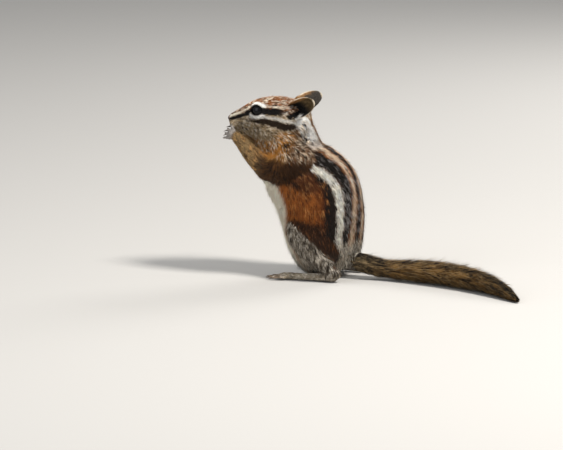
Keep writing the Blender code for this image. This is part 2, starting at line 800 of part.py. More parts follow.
def build():
    head, neck, torso = body_nodes()
    ear_colour, coat = (0.3, 0.2, 0.12), (0.5, 0.27, 0.1)
    ears = [ear_node(side, sign, head) for side, sign in SIDES]
    head_features(head)
    for side, sign in SIDES:
        eye_node(side, sign)
    for side, sign in SIDES:
        arm = foreleg_node(side, sign)
        paw = forepaw_node(side, sign)
        leg = hindleg_node(side, sign)
        foot = hindfoot_node(side, sign)
        cut(leg, [grown(foot)])
        cut(arm, [grown(head)])
        cut(paw, [grown(head)])
        cut(neck, [grown(arm)])
        cut(torso, [grown(arm), grown(leg), grown(foot)])
        finish(arm, "foreleg_" + side, coat)
        finish(paw, "forepaw_" + side, (0.45, 0.4, 0.36))
        finish(leg, "hindleg_" + side, (0.35, 0.27, 0.2))
        finish(floor_cut(foot), "hindfoot_" + side, (0.5, 0.4, 0.3))
    tail = tail_nodes(torso)
    for obj, name in zip(tail, ("tail_base", "tail_middle", "tail_end")):
        finish(floor_cut(obj), name, (0.25, 0.19, 0.11))
    finish(floor_cut(torso), "torso", coat)
    finish(neck, "neck", (0.5, 0.32, 0.16))
    finish(head, "head", (0.45, 0.33, 0.2))


def stand_at_origin():
    """Moves the animal so that the middle of its box's base is the origin."""
    corners = np.array([v.co for obj in bpy.data.objects for v in obj.data.vertices])
    low, high = corners.min(axis=0), corners.max(axis=0)
    shift = Matrix.Translation((-(low[0] + high[0]) / 2, -(low[1] + high[1]) / 2, 0))
    for obj in bpy.data.objects:
        obj.data.transform(shift)


def clear_scene():
    for obj in list(bpy.data.objects):
        bpy.data.objects.remove(obj)


clear_scene()
build()
stand_at_origin()
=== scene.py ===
"""The looks of the sitting chipmunk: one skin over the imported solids, and a coat of solid hairs.

Sizes are in millimetres in the animal's own frame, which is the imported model's frame
moved by SHIFT. The animal faces -X, its left side is towards -Y, and +Z is up.
"""

import itertools
import json
import math

import bmesh
import bpy
import numpy as np
from mathutils import Matrix, Vector
from mathutils.bvhtree import BVHTree
from mathutils.kdtree import KDTree

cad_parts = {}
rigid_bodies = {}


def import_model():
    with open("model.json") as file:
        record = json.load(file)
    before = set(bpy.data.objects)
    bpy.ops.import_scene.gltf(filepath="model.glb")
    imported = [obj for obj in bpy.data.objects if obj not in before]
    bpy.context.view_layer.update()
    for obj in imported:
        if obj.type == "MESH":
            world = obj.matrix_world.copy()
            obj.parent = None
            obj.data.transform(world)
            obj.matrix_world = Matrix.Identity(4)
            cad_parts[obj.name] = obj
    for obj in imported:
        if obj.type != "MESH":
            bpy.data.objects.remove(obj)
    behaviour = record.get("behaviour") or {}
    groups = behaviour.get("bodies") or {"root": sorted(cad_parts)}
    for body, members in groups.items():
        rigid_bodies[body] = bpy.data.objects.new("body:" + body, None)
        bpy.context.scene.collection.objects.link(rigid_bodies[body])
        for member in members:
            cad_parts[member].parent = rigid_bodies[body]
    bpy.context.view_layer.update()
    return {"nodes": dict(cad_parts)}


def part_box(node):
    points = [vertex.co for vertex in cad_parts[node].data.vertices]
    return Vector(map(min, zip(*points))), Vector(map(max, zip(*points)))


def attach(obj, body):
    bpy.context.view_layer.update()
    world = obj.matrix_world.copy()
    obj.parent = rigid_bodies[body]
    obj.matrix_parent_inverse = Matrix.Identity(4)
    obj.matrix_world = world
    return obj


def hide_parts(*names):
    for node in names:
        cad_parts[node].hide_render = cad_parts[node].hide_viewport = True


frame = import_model()

MM = 0.001
SEED = 7
SHARE = 1.0  # share of the hairs that is grown

SIDES = (("left", -1), ("right", 1))

# The body's own sizes, as in the solids.
TRUNK = (
    (7.0, 2.0, 8.0, 8.0, 9.0, 13.0),
    (4.6, 9.0, 13.8, 14.2, 15.0, 13.0),
    (2.6, 18.0, 16.9, 17.0, 16.8, 13.0),
    (1.2, 27.5, 18.4, 18.4, 17.4, 9.0),
    (-1.6, 36.5, 19.3, 18.8, 16.8, 2.0),
    (-6.3, 44.4, 16.5, 18.8, 15.2, 0.0),
    (-11.2, 50.6, 12.1, 18.2, 13.6, 0.0),
    (-14.8, 56.2, 10.2, 16.6, 12.6, 0.0),
    (-17.4, 61.2, 10.4, 13.4, 12.0, 0.0),
    (-19.5, 65.2, 9.0, 9.5, 10.0, 0.0),
)
HIPS_TURN = math.radians(-5)
HIPS_AXIS = (4.6, 0.0, 0.0)
NOSE_TIP = (-39.8, -6.2, 67.3)
HEAD_TURNS = (math.radians(12), math.radians(-2), math.radians(1))  # about Z, Y and X
NOSE_MIDDLE = (0.2, 0.0, 0.0)  # of the bare skin, in the head's frame
EYE_RADIUS = 3.2
EYE_CENTRE = (14.6, -5.0, 3.5)
EYE_AXIS = (-0.42, -0.88, 0.2)
LID_OPENING = (2.85, 2.15)
LID_TILT = math.radians(8)
EAR_BASE = (27.0, -7.6, 2.6)
EAR_TIP = (39.2, -12.4, 7.7)
EAR_FACES = (-0.42, -0.88, 0.1)
EAR_HALF_WIDTH = 4.1
EAR_WIDEST = 0.45  # share of the length where the ear is widest
FOREPAW = {
    "left": ((-33.4, -11.6, 59.6), (-41.2, -10.5, 63.2), (0.1, 1.0, -0.35)),
    "right": ((-34.4, 1.6, 59.6), (-42.0, -0.9, 64.2), (0.1, -1.0, -0.35)),
}
ELBOW = (-19.6, -12.2, 46.0)
SHOULDER = (-6.0, -8.4, 50.0)
FINGERS = 4
FINGER_BEND = 0.8
FINGER_RADIUS = 0.62
FOOT = ((13.4, -14.4, 2.3), (6.0, -15.0, 2.2), (-2.0, -15.6, 2.0), (-9.0, -16.2, 1.7))
FOOT_TUBE = (
    (14.6, -14.3, 3.0, 1.5),
    (13.0, -14.4, 2.3, 2.1),
    (9.0, -14.6, 1.9, 1.8),
    (4.0, -15.0, 1.7, 1.5),
    (-2.0, -15.5, 1.6, 1.42),
    (-6.5, -15.9, 1.6, 1.5),
    (-10.0, -16.2, 1.5, 1.45),
    (-11.6, -16.4, 1.2, 1.1),
)
TOES = 5
TOE_LENGTH = 7.6
TOE_RADIUS = 0.66
TOE_SPREAD = math.radians(13)
CLAW_LENGTH = 1.5
CLAW_RADIUS = 0.34
TAIL_ROOT = (12.0, 0.0, 7.6)
TAIL_LENGTH = 96.0
TAIL_HEADINGS = (math.radians(6), math.radians(-50))
TAIL_COAT = (4.0, 4.6, 5.3, 5.7, 5.8, 5.5, 4.9, 3.7, 2.0)
TAIL_CORE = 0.4  # the tail's skin, as a share of the reach of its hair

# Loose skin that fills the hollow between the back of the head and the shoulders.
SCRUFF = (((-5.0, 0.0, 60.0), (3.9, 5.5, 6.0)), ((-3.5, 0.0, 57.5), (3.6, 6.0, 4.5)))

FLESH = (
    "head neck torso foreleg_left foreleg_right hindleg_left hindleg_right forepaw_left "
    "forepaw_right hindfoot_left hindfoot_right ear_left ear_right"
).split()
TAIL_NODES = ("tail_base", "tail_middle", "tail_end")
GROWN = 0.25  # the solids grow by this, so that the gaps between them close
VOXEL = 0.44

# How many times values are averaged with their neighbours on the skin.
JOIN_WIDTH = 14  # to find the zone where limbs and trunk meet
JOIN_ROUNDS = 26  # to smooth that zone
FIELD_ROUNDS = 8  # the coat's depth and hairs
WAY_ROUNDS = 50  # the lie of the hair
INWARD_ROUNDS = 4  # how far the skin lies within the outline
AT_ONCE = 20000  # points set against the spine at one time

# For each kind of region: depth of the coat over the skin, length and width of its
# hairs, hairs to a square millimetre.
COAT = {
    "torso": (1.5, 4.8, 0.30, 12.0),
    "neck": (1.3, 4.4, 0.28, 14.0),
    "head": (0.75, 2.4, 0.19, 24.0),
    "foreleg": (0.9, 3.6, 0.24, 17.0),
    "hindleg": (1.2, 4.0, 0.27, 14.0),
    "forepaw": (0.06, 0.6, 0.09, 30.0),
    "hindfoot": (0.22, 1.9, 0.15, 24.0),
    "ear": (0.12, 0.9, 0.12, 26.0),
    "tail": (0.0, 9.0, 0.34, 0.0),
}
NOSE_CHANGES = (-0.7, -0.66, -0.4, 0.5)  # of the same four, from the cheeks to the nose
TAIL_HAIRS = 31000
TICKS_TOGETHER = 0.72  # share of the hairs that are pale or dark with their whole lock
TAIL_BRUSH = 6.5  # how far the hairs reach past the last of the tail
LOWEST_HAIR = 0.14  # height of the middle and tip of the lowest hairs of the body
TO_A_CLUMP = 26  # hairs of the body drawn together
TO_A_TICK = 9  # hairs that may share a pale or dark colour
TO_A_LOCK = 14  # hairs of the tail in one lock
MOST_HAIRS = 32500  # in one coat piece, at six triangles a hair

# Colours as they would be painted, in sRGB out of 255.
RUST = (142, 87, 45)
CROWN_PALE = (150, 130, 112)
WHITE = (254, 246, 230)
BLACK = (15, 12, 11)
STRIPE_BROWN = (44, 31, 20)
CHEEK = (172, 150, 118)
OCHRE = (190, 132, 66)
ARM_BROWN_AND_SHADE = (60, 37, 19)
ARM_OCHRE = (170, 120, 64)
WRIST = (146, 120, 82)
FLANK = (186, 112, 53)
FLANK_DEEP = (120, 66, 32)
SHOULDER_DARK_AND_SHADE = (84, 50, 30)
NECK_TICKED = (132, 98, 72)
THIGH_BROWN = (60, 38, 25)
TAWNY_AT = (-10.5, -13.0, 19.5)  # a tawny patch where the thigh meets the belly
GRIZZLE = (126, 116, 102)
BELLY = (238, 228, 210)
DORSAL_DARK = (30, 25, 22)
DORSAL_PALE = (222, 200, 174)
EAR_BROWN = (88, 70, 44)
PAW = (158, 150, 143)
FOOT_BUFF = (182, 168, 146)
FOOT_DARK = (108, 92, 74)
TOE_SKIN = (150, 128, 108)
TAIL_OCHRE = (136, 102, 56)
TAIL_DARK = (28, 23, 19)
TAIL_PALE = (186, 158, 116)
NOSE_SKIN = (96, 74, 66)
STRIPE_EDGE = (40, 32, 28)
STRIPE_HALO = (112, 66, 40)
DORSAL_RUSTY = (168, 104, 60)
RUMP_PALE = (196, 180, 158)
NAPE_BROWN = (126, 96, 70)
NAPE_PATCH = (250, 246, 240)
THROAT_PALE = (206, 172, 122)
SNOUT_DARK = (84, 62, 46)
CHEEK_DARK = (112, 94, 70)
MUZZLE = (196, 174, 142)
CHIN = (206, 180, 138)
MOUTH_DARK = (30, 22, 18)
LID_WHITE = (248, 244, 236)
LID_CREAM = (240, 236, 230)
FACE_CREAM = (240, 230, 212)
FACE_GREY = (204, 200, 194)
TUFT_GREY = (206, 200, 192)
HOLLOW_SHADOW = (14, 11, 10)
TAWNY = (158, 110, 60)
SHIN = (96, 86, 74)
EAR_GREY = (64, 59, 54)
EAR_ROOT_GREY = (60, 52, 46)
EAR_TAWNY = (158, 118, 76)
EAR_CUP_SHADOW = (12, 10, 9)
EAR_RUSTY = (170, 120, 70)
EAR_RIM = (226, 212, 190)
TAIL_ROOT_GREY = (96, 88, 70)
EYE_BLACK = (7, 6, 8)
LID_SKIN = (22, 17, 15)
HORN = (88, 74, 62)
NOSTRIL_SHADE = (14, 10, 10)
WHISKER_DARK = (24, 20, 18)
FLOOR_GREY = (184, 182, 179)

# Hairs of another colour, by place: share and colour of the dark ones, then of the pale ones.
TICKS = {
    "thigh front": (0.3, (44, 36, 30), 0.32, (208, 198, 184)),
    "rump": (0.26, (30, 24, 20), 0.42, (234, 222, 206)),
    "neck": (0.3, (44, 32, 25), 0.26, (228, 208, 182)),
    "arm": (0.18, (72, 46, 26), 0.14, (206, 158, 100)),
    # Ticks on the lower arm, darkened with the painted shade there.
    "shaded dark of arm": (0.14, (34, 21, 12), 0.12, (104, 68, 36)),
    "shoulder": (0.22, (40, 27, 20), 0.1, (176, 124, 78)),
    "cheek": (0.16, (60, 48, 38), 0.2, (226, 212, 192)),
    "flank": (0.14, (96, 54, 28), 0.09, (200, 138, 80)),
    "dark stripes": (0.0, BLACK, 0.34, (152, 146, 144)),
    "pale stripes": (0.09, (78, 54, 38), 0.05, (248, 242, 232)),
    "thigh back": (0.12, (34, 22, 16), 0.12, (126, 82, 50)),
    "crown": (0.24, (34, 24, 18), 0.2, (222, 200, 176)),
    "foot": (0.2, (86, 74, 60), 0.2, (224, 214, 198)),
}


def linear(colour):
    """A painted colour as the renderer's linear light."""
    value = np.array(colour, float) / 255
    return np.where(value <= 0.04045, value / 12.92, ((value + 0.055) / 1.055) ** 2.4)


def unit(vectors):
    vectors = np.asarray(vectors, float)
    return vectors / np.maximum(np.linalg.norm(vectors, axis=-1, keepdims=True), 1e-9)


def smoothstep(low, high, value):
    t = np.clip((value - low) / (high - low), 0, 1)
    return t * t * (3 - 2 * t)


def spline(rows, count):
    """Rows read as points of a smooth curve through them, at count even steps."""
    rows = np.array(rows, float)
    padded = np.vstack([2 * rows[0] - rows[1], rows, 2 * rows[-1] - rows[-2]])
    out = []
    for step in np.linspace(0, len(rows) - 1, count):
        i = min(int(step), len(rows) - 2)
        t = step - i
        p0, p1, p2, p3 = padded[i : i + 4]
        square = (2 * p0 - 5 * p1 + 4 * p2 - p3) * t**2
        cube = (3 * p1 - p0 - 3 * p2 + p3) * t**3
        out.append(0.5 * (2 * p1 + (p2 - p0) * t + square + cube))
    return np.array(out)


def mirrored(values, sign):
    return (values[0], -sign * values[1], *values[2:])


def on_hips(values):
    turn = Matrix.Rotation(HIPS_TURN, 3, "Z")
    return turn @ (Vector(values[:3]) - Vector(HIPS_AXIS)) + Vector(HIPS_AXIS)


def head_axes():
    about_z, about_y, about_x = HEAD_TURNS
    turn = (
        Matrix.Rotation(about_z, 4, "Z")
        @ Matrix.Rotation(about_y, 4, "Y")
        @ Matrix.Rotation(about_x, 4, "X")
    )
    return Matrix.Translation(Vector(NOSE_TIP)) @ turn


HEAD_PLACE = head_axes()
HEAD_ARRAY = np.array(HEAD_PLACE)


def ear_frame(sign):
    """The ear's place and length: +X runs from root to tip and +Z is the way the cup opens."""
    base, tip = Vector(mirrored(EAR_BASE, sign)), Vector(mirrored(EAR_TIP, sign))
    along = (tip - base).normalized()
    faces = Vector(mirrored(EAR_FACES, sign))
    faces = (faces - along * faces.dot(along)).normalized()
    turn = Matrix((along, faces.cross(along), faces)).transposed().to_4x4()
    return HEAD_PLACE @ Matrix.Translation(base) @ turn, (tip - base).length


def eye_frame(sign):
    """The eye's place and axes in millimetres: +Z looks out and +X runs along the lids."""
    axis = Vector(mirrored(EYE_AXIS, sign)).normalized()
    along = (Vector((1, 0, 0)) - axis * axis.x).normalized()
    turn = Matrix((along, axis.cross(along), axis)).transposed().to_4x4()
    tilt = Matrix.Rotation(LID_TILT * sign, 4, "Z")
    return HEAD_PLACE @ Matrix.Translation(Vector(mirrored(EYE_CENTRE, sign))) @ turn @ tilt


def eye_shift():
    """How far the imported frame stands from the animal's own, from the box of the left eye."""
    low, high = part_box("eye_left")
    return np.array((low + high) / 2) / MM - np.array(eye_frame(-1).translation)


SHIFT = eye_shift()
EYE_IN_HEAD = np.array(eye_frame(-1).inverted() @ HEAD_PLACE)


def to_frame(points):
    """Millimetres of the animal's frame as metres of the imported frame."""
    return (np.asarray(points, float) + SHIFT) * MM


def in_head(points):
    return (points - HEAD_ARRAY[:3, 3]) @ HEAD_ARRAY[:3, :3]


def in_half_head(points):
    """Points in the head's frame, with the right half folded over to the left."""
    h = in_head(points)
    h[:, 1] = -np.abs(h[:, 1])
    return h


def moved(points, matrix):
    """Points moved by a matrix of four rows."""
    matrix = np.array(matrix)
    return points @ matrix[:3, :3].T + matrix[:3, 3]


def lattice_noise(points, scale, seed=0):
    """Smooth noise between 0 and 1 at points, with features of about scale millimetres."""
    place = points / scale + 100.0
    cell = np.floor(place).astype(np.int64)
    part = place - cell
    part = part * part * (3 - 2 * part)
    total = np.zeros(len(points))
    for corner in range(8):
        offset = np.array([corner & 1, (corner >> 1) & 1, (corner >> 2) & 1])
        at = cell + offset
        mixed = (at[:, 0] * 73856093) ^ (at[:, 1] * 19349663) ^ (at[:, 2] * 83492791) ^ (seed * 668265263)
        mixed = (mixed ^ (mixed >> 13)) * 1274126177 & 0x7FFFFFFF
        value = (mixed % 100003) / 100003
        weight = np.prod(np.where(offset == 1, part, 1 - part), axis=1)
        total += value * weight
    return total


# The spine, as even stations from the rump to the nape.
SPINE = spline(TRUNK, 160)
SPINE_WAY = unit(np.gradient(SPINE[:, :2], axis=0))
SPINE_AT = np.concatenate([[0], np.cumsum(np.linalg.norm(np.diff(SPINE[:, :2], axis=0), axis=1))])


def on_spine(points):
    """Distance up the spine, angle from the back's midline and distance from it over the skin."""
    s = np.zeros(len(points))
    angle = np.zeros(len(points))
    arc = np.zeros(len(points))
    for start in range(0, len(points), AT_ONCE):
        part = slice(start, start + AT_ONCE)
        p = points[part]
        dx = p[:, :1] - SPINE[None, :, 0]
        dz = p[:, 2:3] - SPINE[None, :, 1]
        along = dx * SPINE_WAY[:, 0] + dz * SPINE_WAY[:, 1]
        i = np.argmin(np.abs(along) + 0.05 * np.hypot(dx, dz), axis=1)
        rows = np.arange(len(p))
        out = dx[rows, i] * SPINE_WAY[i, 1] - dz[rows, i] * SPINE_WAY[i, 0]
        twist = np.radians(SPINE[i, 5])
        back = out * np.cos(twist) - p[:, 1] * np.sin(twist)
        aside = p[:, 1] * np.cos(twist) + out * np.sin(twist)
        reach = np.where(back > 0, SPINE[i, 2], SPINE[i, 3])
        width = SPINE[i, 4]
        turn = np.arctan2(aside / width, back / reach)
        total = np.zeros(len(p))
        steps = 24
        for k in range(steps):
            middle = turn * (k + 0.5) / steps
            total += np.hypot(width * np.cos(middle), reach * np.sin(middle)) * turn / steps
        s[part] = SPINE_AT[i]
        angle[part] = np.degrees(turn)
        arc[part] = total
    return s, angle, arc


def near_line(points, line):
    """Distance from each point to a line through the given points, and the share of it where that is."""
    line = np.array(line, float)
    lengths = np.linalg.norm(np.diff(line, axis=0), axis=1)
    before = np.concatenate([[0], np.cumsum(lengths)])
    best = np.full(len(points), 1e9)
    share = np.zeros(len(points))
    for i in range(len(line) - 1):
        way = line[i + 1] - line[i]
        t = np.clip((points - line[i]) @ way / (way @ way), 0, 1)
        away = np.linalg.norm(points - line[i] - t[:, None] * way, axis=1)
        nearer = away < best
        best = np.where(nearer, away, best)
        share = np.where(nearer, (before[i] + t * lengths[i]) / before[-1], share)
    return best, share


def way_along(points, line):
    """The direction of the nearest part of a line, for each point."""
    line = np.array(line, float)
    best = np.full(len(points), 1e9)
    ways = np.zeros((len(points), 3))
    for a, b in zip(line, line[1:]):
        way = b - a
        t = np.clip((points - a) @ way / (way @ way), 0, 1)
        away = np.linalg.norm(points - a - t[:, None] * way, axis=1)
        nearer = away < best
        best = np.where(nearer, away, best)
        ways = np.where(nearer[:, None], unit(way), ways)
    return ways


def tail_line(count=60):
    """The tail's centre line: x, y, z and the reach of the hair."""
    reaches = spline([(r,) for r in TAIL_COAT], count)[:, 0]
    x, y, z = on_hips(TAIL_ROOT)
    rows = []
    step = TAIL_LENGTH / (count - 1)
    for i, reach in enumerate(reaches):
        share = i / (count - 1)
        rest = 0.88 * reach - 0.25
        settled = min(1.0, share * 4.5)
        height = z + (rest - z) * (settled * settled * (3 - 2 * settled))
        rows.append((x, y, height, reach))
        heading = TAIL_HEADINGS[0] + (TAIL_HEADINGS[1] - TAIL_HEADINGS[0]) * share
        x += step * math.cos(heading)
        y += step * math.sin(heading)
    return np.array(rows)


TAIL = tail_line()


# Markings. Each function takes points in the animal's frame and gives linear colours.
# Lines on the head are in the head's frame, for the left side.
WHITE_OVER = (
    (0.8, -1.2, 0.6), (5.2, -3.0, 2.6), (9.2, -4.2, 4.6), (11.6, -5.8, 6.2), (14.4, -7.4, 6.6),
    (17.4, -7.9, 5.6), (22.2, -7.7, 5.4), (26.4, -7.4, 5.2),
)
BLACK_EYE = (
    (1.2, -2.0, -0.4), (3.4, -3.0, 0.4), (5.6, -3.8, 1.2), (8.6, -5.0, 2.5), (11.0, -6.3, 3.3),
    (17.0, -8.7, 3.7), (21.8, -9.0, 3.4), (24.4, -9.1, 3.0), (28.0, -8.8, 2.4),
)
WHITE_UNDER = (
    (10.4, -6.4, 1.0), (12.0, -7.4, 0.7), (14.3, -8.4, 0.7), (16.8, -8.9, 1.3), (18.8, -9.6, 1.0),
    (21.9, -10.1, 0.4), (24.9, -10.2, -0.5), (28.0, -9.9, -1.1), (31.6, -9.0, -1.4),
)
BROWN_UNDER = (
    (9.6, -6.2, -0.4), (12.3, -7.6, -0.6), (15.5, -8.9, -0.5), (18.7, -9.9, -1.0), (21.8, -10.3, -2.0),
    (24.9, -10.3, -2.8), (27.9, -9.9, -3.3), (32.3, -8.7, -3.9),
)
RUST_TO_EAR = (
    (19.0, -8.2, 5.2), (23.3, -8.0, 4.9), (25.4, -7.6, 5.2), (27.1, -6.1, 6.2), (28.9, -3.6, 6.9),
)
MOUTH = (
    (0.2, 0.0, -2.6), (1.2, -1.2, -3.4), (2.8, -2.4, -4.2), (4.8, -3.2, -4.8), (6.8, -3.9, -5.9),
)
NAPE_WHITE = ((33.4, -8.0, -1.6), (35.0, -6.2, -3.6), (35.6, -5.2, -7.6), (36.6, -5.4, -11.0))
# Painted shadow in the hollow before the root of the ear.
EAR_FRONT_SHADOW = ((27.6, -9.2, 1.4), (29.4, -8.8, 1.8), (31.6, -7.8, 2.2), (33.4, -6.8, 2.4))
EAR_TUFTS = ((25.4, -9.0, 2.6), (26.8, -8.4, 4.0), (28.4, -6.6, 5.4))

# Half widths of the stripes on the back, from the midline outwards, at places up the spine.
STRIPE_AT = (4.0, 10.0, 18.0, 24.0, 30.0, 36.0, 41.0, 45.0, 49.0, 53.0)
STRIPES = (
    (1.2, 1.5, 2.0, 1.8, 1.5, 1.5, 1.5, 2.0, 2.3, 1.8),
    (4.4, 5.4, 6.1, 5.5, 5.0, 5.4, 6.0, 7.0, 7.2, 5.0),
    (7.4, 8.9, 9.3, 9.0, 9.7, 10.7, 12.2, 13.8, 13.4, 9.0),
    (10.2, 12.2, 12.8, 12.7, 13.6, 15.0, 16.4, 17.8, 17.8, 15.5),
    (12.4, 16.2, 18.6, 19.0, 19.2, 19.2, 18.6, 18.0, 17.8, 15.5),
)

# Edges of other markings, each as places and what it reaches there. On the trunk a
# place is an angle from the back, on the thigh a height, on the head a distance back.
SHOULDER_START = ((56, 62, 66, 76, 90, 98, 108, 120), (38, 37, 36.6, 35.8, 37.4, 41.2, 45, 47.5))
NAPE_START = ((0, 60, 105, 135, 180), (48.5, 48.5, 50.0, 56.0, 57.0))
THIGH_EDGE = ((4.0, 11.8, 15.0, 18.4, 21.9, 24.7, 27.5), (14.0, 8.3, 5.7, 2.4, -1.6, -6.8, -11.0))
EYE_LEVEL = ((0, 5, 10, 18, 28, 36), (0.2, 1.6, 3.2, 3.2, 1.6, 1.0))

# Lines of the face: colour, half width at the start and end, softness of the edge.
FACE_LINES = (
    (RUST_TO_EAR, RUST, 0.3, 0.6, 0.3),
    (WHITE_OVER, FACE_CREAM, 0.6, 0.85, 0.25),
    (WHITE_UNDER, FACE_GREY, 0.55, 1.0, 0.35),
    (BROWN_UNDER, STRIPE_BROWN, 0.65, 1.65, 0.55),
    (BLACK_EYE, BLACK, 0.75, 1.6, 0.3),
    (EAR_TUFTS, TUFT_GREY, 0.6, 0.5, 0.4),
    # Painted shadow in the hollow before the ear.
    (EAR_FRONT_SHADOW, HOLLOW_SHADOW, 1.3, 1.9, 0.4),
)


def over(colours, paint, amount):
    """Paint laid over colours by an amount from 0 to 1: one painted colour, or a row of light a point."""
    if isinstance(paint, tuple):
        paint = linear(paint)
    return colours + (paint - colours) * np.clip(amount, 0, 1)[:, None]


def layered(colours, layers):
    """Layers of paint and amount, one over another."""
    for paint, amount in layers:
        colours = over(colours, paint, amount)
    return colours


def plain(paint, points):
    """One painted colour at every point, as light."""
    return np.tile(linear(paint), (len(points), 1))


def band(value, low, high, soft):
    """1 where the value lies between low and high, with soft edges."""
    return smoothstep(low - soft, low + soft, value) * (1 - smoothstep(high - soft, high + soft, value))


def within(points, centre, radii):
    """Distance from the centre of a round form, as a share of its radii."""
    return np.linalg.norm((points - np.array(centre)) / np.array(radii), axis=1)


def trunk_colours(points, noise):
    """Stripes of the back, rusty flank, pale belly, grizzled rump and ochre shoulders."""
    s, angle, arc = on_spine(points)
    turn = np.abs(angle)
    wave = (lattice_noise(points, 1.3, 3) - 0.5) * 1.1 + (noise - 0.5) * 1.1
    side = np.abs(arc) + wave
    median, pale, dark, white, outer = (np.interp(s, STRIPE_AT, row) for row in STRIPES)
    soft = 0.35
    # The side of the shoulder, over and behind the arm, is dark above the rusty flank: partly darker fur,
    # partly painted shade.
    start = np.interp(turn, *SHOULDER_START)
    patch = smoothstep(start - 1.2, start + 1.6, s + wave) * (1 - smoothstep(112, 124, turn))
    upper = 1 - smoothstep(41.5, 45.0, s + wave * 0.8)
    inner = 1 - smoothstep(47.0, 49.5, s + wave * 0.6)
    # From the waist down the side, the fold of the thigh: rusty above it, dark brown below.
    below = 1 - smoothstep(-0.9, 0.9, above_fold(points) + wave * 0.8)
    below = below * smoothstep(0, 1.2, side - outer + 0.8) * (1 - smoothstep(114, 122, turn))
    rump = (1 - smoothstep(8.0, 14.5, s + wave * 2.2)) * (1 - smoothstep(118, 126, turn))
    layers = (
        (FLANK_DEEP, lattice_noise(points, 2.2, 5) * 0.55),
        (FLANK_DEEP, 1 - smoothstep(outer, outer + 5, side)),
        (SHOULDER_DARK_AND_SHADE, patch * 0.85),
        (BELLY, smoothstep(118, 126, turn + wave * 3)),
        (STRIPE_EDGE, band(side, white, outer, 0.6) * upper),
        (WHITE, band(side, dark, white, soft) * (1 - smoothstep(49.5, 53, s))),
        (STRIPE_HALO, band(side, pale - 0.5, dark + 0.4, 0.5) * inner),
        (DORSAL_DARK, band(side, pale, dark, soft) * inner),
        (DORSAL_RUSTY, band(side, median, pale, 0.5)),
        (DORSAL_PALE, band(side, median + 0.7, pale - 0.7, 0.5)),
        (DORSAL_DARK, 1 - smoothstep(median - soft, median + soft, side)),
        (THIGH_BROWN, below),
        (GRIZZLE, below * thigh_front(points, wave)),
        (RUMP_PALE, rump * 0.9),
        (DORSAL_DARK, rump * (1 - smoothstep(2.2, 4.4, side)) * 0.85),
    )
    # Above the shoulders: ochre throat, ticked side of the neck, brown nape.
    top = np.interp(turn, *NAPE_START)
    neck_layers = (
        (OCHRE, 1 - smoothstep(-12.5, -8.0, points[:, 0] + wave * 1.5)),
        (NAPE_BROWN, 1 - smoothstep(34, 52, turn + wave * 3)),
        (THROAT_PALE, smoothstep(140, 165, turn) * 0.6),
    )
    neck = layered(plain(NECK_TICKED, points), neck_layers)
    return over(layered(plain(FLANK, points), layers), neck, smoothstep(top, top + 3, s + wave))


def thigh_edge(points):
    """How far each point lies behind the line where the thigh's grizzled front ends."""
    return points[:, 0] - np.interp(points[:, 2], *THIGH_EDGE)


def thigh_front(points, wave):
    return 1 - smoothstep(-1.6, 1.6, thigh_edge(points) + wave * 1.4)


def above_fold(points):
    """Height over the fold between the flank and the thigh."""
    return points[:, 2] - (26.9 - 0.16 * np.maximum(points[:, 0] + 4, 0))


def head_colours(points, noise):
    """The face: stripes above, through and below the eye, rusty crown and ticked cheek."""
    h = in_half_head(points)
    back, high = h[:, 0], h[:, 2]
    wave = (lattice_noise(points, 0.9, 8) - 0.5) * 0.5 + (noise - 0.5) * 0.4
    crown = layered(
        plain(RUST, points),
        (
            (CROWN_PALE, smoothstep(0.35, 0.8, lattice_noise(points, 0.8, 9)) * 0.7),
            (SNOUT_DARK, smoothstep(8.0, 3.0, back) * 0.7),
        ),
    )
    throat = smoothstep(-7.4, -9.6, high - wave) * smoothstep(6.0, 12.0, back)
    low_cheek = smoothstep(24.0, 29.0, back + wave * 2 - high * 0.7) * smoothstep(-4.4, -6.0, high)
    # Above the line of the eye the crown, below it the cheek.
    colours = layered(
        plain(CHEEK, points),
        (
            (CHEEK_DARK, lattice_noise(points, 1.1, 10) * 0.5),
            (MUZZLE, (1 - smoothstep(5.0, 13.0, back)) * 0.6),
            (crown, smoothstep(-0.7, 0.7, high - np.interp(back, *EYE_LEVEL) + wave)),
            (OCHRE, np.maximum(throat, low_cheek) * 0.85),
            (CHIN, smoothstep(-4.6, -6.4, high) * (1 - smoothstep(5.0, 9.5, back))),
        ),
    )
    for line, paint, narrow, wide, soft in FACE_LINES:
        away, share = near_line(h, line)
        half = narrow + (wide - narrow) * smoothstep(0.0, 0.6, share)
        amount = 1 - smoothstep(half - soft, half + soft, away + wave)
        if line in (WHITE_OVER, BLACK_EYE):
            amount = amount * (1 - smoothstep(0.8, 1.0, share) * 0.6)
        colours = over(colours, paint, amount)
    mouth, _ = near_line(h, MOUTH)
    # Close to the eye: black at the lids, then white above and below.
    q = moved(h, EYE_IN_HEAD)
    upward = q[:, 1] / LID_OPENING[1]
    ring = np.hypot(q[:, 0] / LID_OPENING[0], upward) + wave * 0.1
    rise = upward / np.maximum(ring, 0.01)
    front = q[:, 2] > 0
    layers = (
        (MOUTH_DARK, 1 - smoothstep(0.15, 0.5, mouth)),
        (LID_WHITE, band(ring, 1.1, 1.62, 0.1) * smoothstep(0.42, 0.66, rise) * front),
        (LID_CREAM, band(ring, 1.14, 1.64, 0.1) * smoothstep(0.42, 0.66, -rise) * front),
        (BLACK, (1 - smoothstep(1.03, 1.14, ring)) * front),
        (NOSE_SKIN, 1 - smoothstep(0.8, 1.1, within(h, (0.3, 0.0, 0.0), (1.7, 1.7, 1.5)))),
    )
    return layered(colours, layers)


